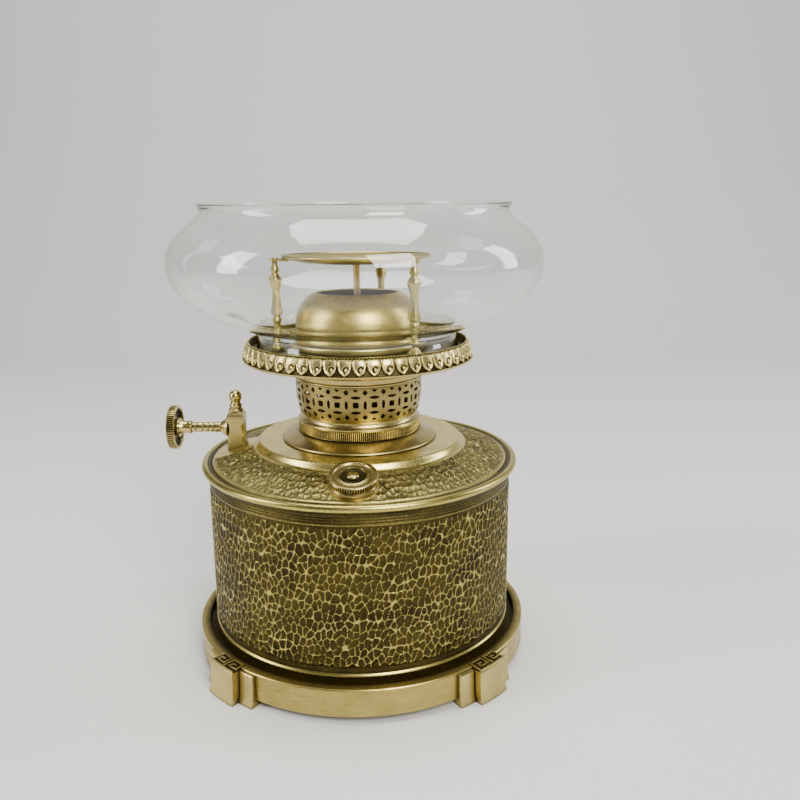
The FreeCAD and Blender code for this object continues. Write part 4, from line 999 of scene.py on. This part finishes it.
leaf_band()
lathe("cone_seat_turned", [
    (29.0, 156.5), (33.4, 156.5), (33.3, 157.6, 0.3), (33.9, 158.2, 0.4), (34.2, 159.0, 0.4), (34.15, 160.6, 0.3), (33.8, 161.25, 0.3), (33.1, 161.3, 0.2),
    (32.3, 160.7, 0.4), (31.5, 160.3), (29.0, 160.3)],
    "gallery", BRUSHED, ["cone_seat"], seg=208, anchor="cone_seat")
cone_out = spline([(29.9, 160.35), (30.45, 161.5), (30.8, 163.2), (30.95, 165.4), (30.85, 168.4), (30.5, 171.2), (29.9, 173.7), (29.0, 175.9), (27.5, 178.1),
                   (25.3, 180.3), (23.2, 182.2), (21.7, 183.35)], 4)
cone_in = spline([(20.1, 183.0), (21.4, 182.2), (23.6, 180.3), (26.6, 177.4), (28.3, 174.9), (29.4, 172.2), (29.9, 168.4), (30.05, 165.4), (29.8, 163.2), (29.1, 160.4)], 4)
lathe("draught_cone_spun", cone_out + [(21.0, 183.62, 0.2), (20.3, 183.6, 0.2)] + cone_in,
      "gallery", CONE, ["draught_cone"], seg=224, radius=0.15, anchor="draught_cone")
# soot and painted shade: a thin dark liner inside the draught cone's mouth
liner = [(r - 0.03, z) for r, z in [q[:2] for q in cone_in] if 160.6 < z < 182.9]
lathe("draught_cone_soot_and_shade", liner + [(r - 0.22, z) for r, z in liner[::-1]], "gallery", SOOT_AND_SHADE, seg=160, radius=0)

STATIONS = [(1.5, 156.5), (3.1, 156.9), (3.35, 157.6), (3.35, 158.9), (2.6, 159.7), (1.7, 160.9), (1.4, 161.6), (1.5, 162.3), (2.5, 163.0), (2.65, 163.6), (2.5, 164.3),
            (2.0, 165.2), (2.0, 166.0), (1.85, 168.0), (1.9, 170.0), (2.4, 170.8), (2.45, 171.5), (2.1, 172.3), (1.75, 172.9), (1.9, 173.4), (3.3, 174.2), (3.2, 175.0),
            (2.5, 178.4), (2.05, 181.6), (1.9, 184.0), (2.1, 186.4), (2.8, 189.2), (3.4, 191.2), (3.3, 191.9), (2.3, 193.2), (1.7, 194.2), (1.65, 194.9), (2.2, 195.7),
            (2.3, 196.3), (1.9, 197.6), (1.5, 198.9), (1.45, 200.5)]
bearings = [44, 164, 284]
for k, b in enumerate(bearings):
    a = math.radians(b)
    cx, cy = 40 * math.sin(a), -40 * math.cos(a)
    prof = soften([(r, z) for r, z in STATIONS], 0.25, 2, closed=False)
    verts, faces = [], []
    m = 12
    for r, z in [q[:2] for q in prof]:
        for j in range(m):
            side, off = j // 2, (-1 if j % 2 == 0 else 1)
            t = a + side * TAU / 6 + off * math.radians(24.5)
            rr = r * 0.985
            verts.append((cx + rr * math.sin(t), cy - rr * math.cos(t), z))
    for i in range(len(prof) - 1):
        for j in range(m):
            p, q = i * m + j, i * m + (j + 1) % m
            faces.append((p, q, q + m, p + m))
    faces.append(tuple(reversed(range(m))))
    faces.append(tuple(range(m * (len(prof) - 1), m * len(prof))))
    make("pot_post_%d" % (k + 1), verts, faces, "gallery", CAST, ["pot_posts"] if k == 0 else (), 22)


def pot_plate():
    dish = soften([(0, 199.8), (26.5, 199.8), (28.4, 199.9, 1), (33.0, 200.9, 1.5), (35.6, 202.0, 1), (36.4, 202.6, 0.4), (36.5, 203.3, 0.3), (36.1, 203.7, 0.2), (35.6, 203.65, 0.2),
                   (35.1, 203.0, 0.4), (32.8, 202.1, 1), (28.5, 201.05, 1.2), (27.0, 201.0), (0, 201.0)], 0.3, closed=False)
    v, f = lathe_arrays(dish, 224, closed=False)
    parts = [(v, f)]
    for b in bearings:
        ear = []
        for j in range(25):
            t = math.radians(-90 + 180 * j / 24)
            ear.append((2.6 * math.sin(t), 40 + 2.6 * math.cos(t)))
        ear += [(3.1, 37.0), (3.6, 35.2), (4.2, 33.6), (-4.2, 33.6), (-3.6, 35.2), (-3.1, 37.0)]
        ear = ear[::-1]
        ca = math.radians(b)
        vv = []
        for z in (200.6, 201.9):
            for s_, r in ear:
                t = ca
                vv.append((r * math.sin(t) + s_ * math.cos(t), -r * math.cos(t) + s_ * math.sin(t), z))
        n = len(ear)
        ff = [tuple(range(n)), tuple(reversed(range(n, 2 * n)))]
        ff += [(j, j + n, (j + 1) % n + n, (j + 1) % n) for j in range(n)]
        parts.append((vv, ff))
        # the post's riveted end
        rv, rf = lathe_arrays(soften([(0, 201.8), (1.7, 201.8), (1.65, 202.3, 0.2), (1.1, 202.75, 0.4), (0, 202.85)], 0.2, closed=False), 24, closed=False)
        rv = rv + np.array([40 * math.sin(ca), -40 * math.cos(ca), 0])
        parts.append((rv, rf))
    vv, ff = joined(parts)
    ob = make("pot_plate_dished", vv, ff, "gallery", BRUSHED, ["pot_plate"], 35)
    return ob


pot_plate()
lathe("spreader_rod_drawn", [(0, 172.8), (1.7, 172.8), (1.7, 199.8), (0, 199.8)], "gallery", ROD, ["spreader_rod"], seg=40, closed=False,
      radius=0.1)
lathe("flame_spreader_pressed", [(9.8, 160.0), (10.6, 160.0), (10.6, 171.9, 0.4), (11.7, 172.2, 0.2), (12.0, 172.5, 0.2), (12.0, 173.4, 0.3), (11.2, 174.3, 0.6), (6.0, 174.4, 1), (1.7, 174.4), (1.7, 172.8), (9.8, 172.8)],
      "gallery", SOOT_AND_SHADE, ["flame_spreader"], seg=96, anchor="flame_spreader")

# ------------------------------------------------------------------ globe
outer = spline([(49.9, 156.7), (50.35, 157.6), (49.95, 159.6), (49.5, 162.0), (49.3, 164.2), (49.75, 166.1), (51.6, 167.4), (56.8, 169.0), (63.9, 171.6), (69.6, 174.2),
                (74.7, 176.9), (81.2, 181.9), (86.2, 187.0), (89.3, 191.9), (90.55, 196.6), (90.9, 200.4), (90.3, 204.6), (88.2, 209.5), (84.6, 213.9), (80.3, 217.7), (77.0, 220.4),
                (75.0, 222.6), (74.35, 224.6), (74.8, 226.2), (75.25, 227.0)], 5)
wall = 1.3
line = np.array([q[:2] for q in outer])
tan = np.gradient(line, axis=0)
tan /= np.linalg.norm(tan, axis=1)[:, None]
inner = [(r, z, 0) for r, z in (line + wall * np.stack([-tan[:, 1], tan[:, 0]], 1))[::-1]]
inner = [q for q in inner if 156.8 <= q[1] <= 225.6]
lathe("glass_globe_blown", outer + [(75.1, 227.4, 0.3), (74.2, 227.55, 0.5), (73.2, 227.3, 0.4), (72.9, 226.5, 0.4)] + inner,
      "globe", GLASS, ["glass_globe"], seg=256, radius=0.3, smooth=0)

# ------------------------------------------------------------------ stage, light, camera
N = Nodes("stage_paper")
p = N.new("ShaderNodeBsdfPrincipled")
N.feed(N.out.inputs[0], p)
vec, _ = object_xyz(N)
N.feed(p.inputs["Base Color"], N.mix(N.noise(vec, 3.0, 2.0), col(0.66, 0.655, 0.64), col(0.69, 0.685, 0.67)))
p.inputs["Roughness"].default_value = 0.75
path = [(-2.6, 0.0), (0.75, 0.0)] + [(0.75 + 0.55 * math.sin(t), 0.55 - 0.55 * math.cos(t)) for t in np.linspace(0, math.pi / 2, 16)[1:]] + [(1.3, 2.6)]
sv, sf = [], []
for y, z in path:
    sv += [(-3.0, y, z), (3.0, y, z)]
for i in range(len(path) - 1):
    sf.append((2 * i, 2 * i + 1, 2 * i + 3, 2 * i + 2))
me = bpy.data.meshes.new("studio_sweep")
me.from_pydata(sv, [], sf)
me.materials.append(N.mat)
me.shade_smooth()
floor = bpy.data.objects.new("studio_sweep", me)
bpy.context.scene.collection.objects.link(floor)

world = bpy.data.worlds.new("studio")
world.use_nodes = True
bg = world.node_tree.nodes["Background"]
bg.inputs[0].default_value = (0.80, 0.82, 0.86, 1)
bg.inputs[1].default_value = 0.11
bpy.context.scene.world = world


def area(name, place, target, size, size_y, power, colour=(1, 1, 1)):
    li = bpy.data.lights.new(name, "AREA")
    li.shape, li.size, li.size_y, li.energy, li.color = "RECTANGLE", size, size_y, power, colour
    ob = bpy.data.objects.new(name, li)
    ob.location = place
    ob.rotation_euler = (Vector(target) - Vector(place)).to_track_quat("-Z", "Y").to_euler()
    bpy.context.scene.collection.objects.link(ob)
    return ob


mid = (0, 0, 0.11)
area("key", (0.50, -1.05, 0.95), mid, 0.55, 0.75, 26, (1.0, 0.97, 0.90))
area("left", (-1.15, -0.35, 0.60), mid, 0.35, 1.0, 13, (1.0, 0.98, 0.95))
area("top", (0.0, 0.15, 1.5), mid, 1.0, 0.8, 20, (1.0, 0.99, 0.96))
area("right", (1.2, 0.25, 0.55), mid, 0.3, 0.9, 8, (0.95, 0.98, 1.0))

# Viewpoint: 421 mm in front of the axis, 231 mm up, 13.7 degrees down.
cam_data = bpy.data.cameras.new("camera")
cam_data.sensor_width, cam_data.lens = 36.0, 38.177
cam_data.clip_start, cam_data.clip_end = 0.02, 20
cam = bpy.data.objects.new("camera", cam_data)
yaw, pitch, roll, spin = (math.radians(v) for v in (2.842, 13.665, -0.417, 3.0))
fwd0 = Vector((math.sin(yaw), math.cos(yaw), 0))
right0 = Vector((math.cos(yaw), -math.sin(yaw), 0))
fwd = fwd0 * math.cos(pitch) - Vector((0, 0, 1)) * math.sin(pitch)
upv = Vector((0, 0, 1)) * math.cos(pitch) + fwd0 * math.sin(pitch)
r_ = right0 * math.cos(roll) + upv * math.sin(roll)
u_ = upv * math.cos(roll) - right0 * math.sin(roll)
m = Matrix((r_, u_, -fwd)).transposed().to_4x4()
m.translation = Vector((0, -420.867, 231.246)) * MM
cam.matrix_world = Matrix.Rotation(spin, 4, "Z") @ m
bpy.context.scene.collection.objects.link(cam)
bpy.context.scene.camera = cam
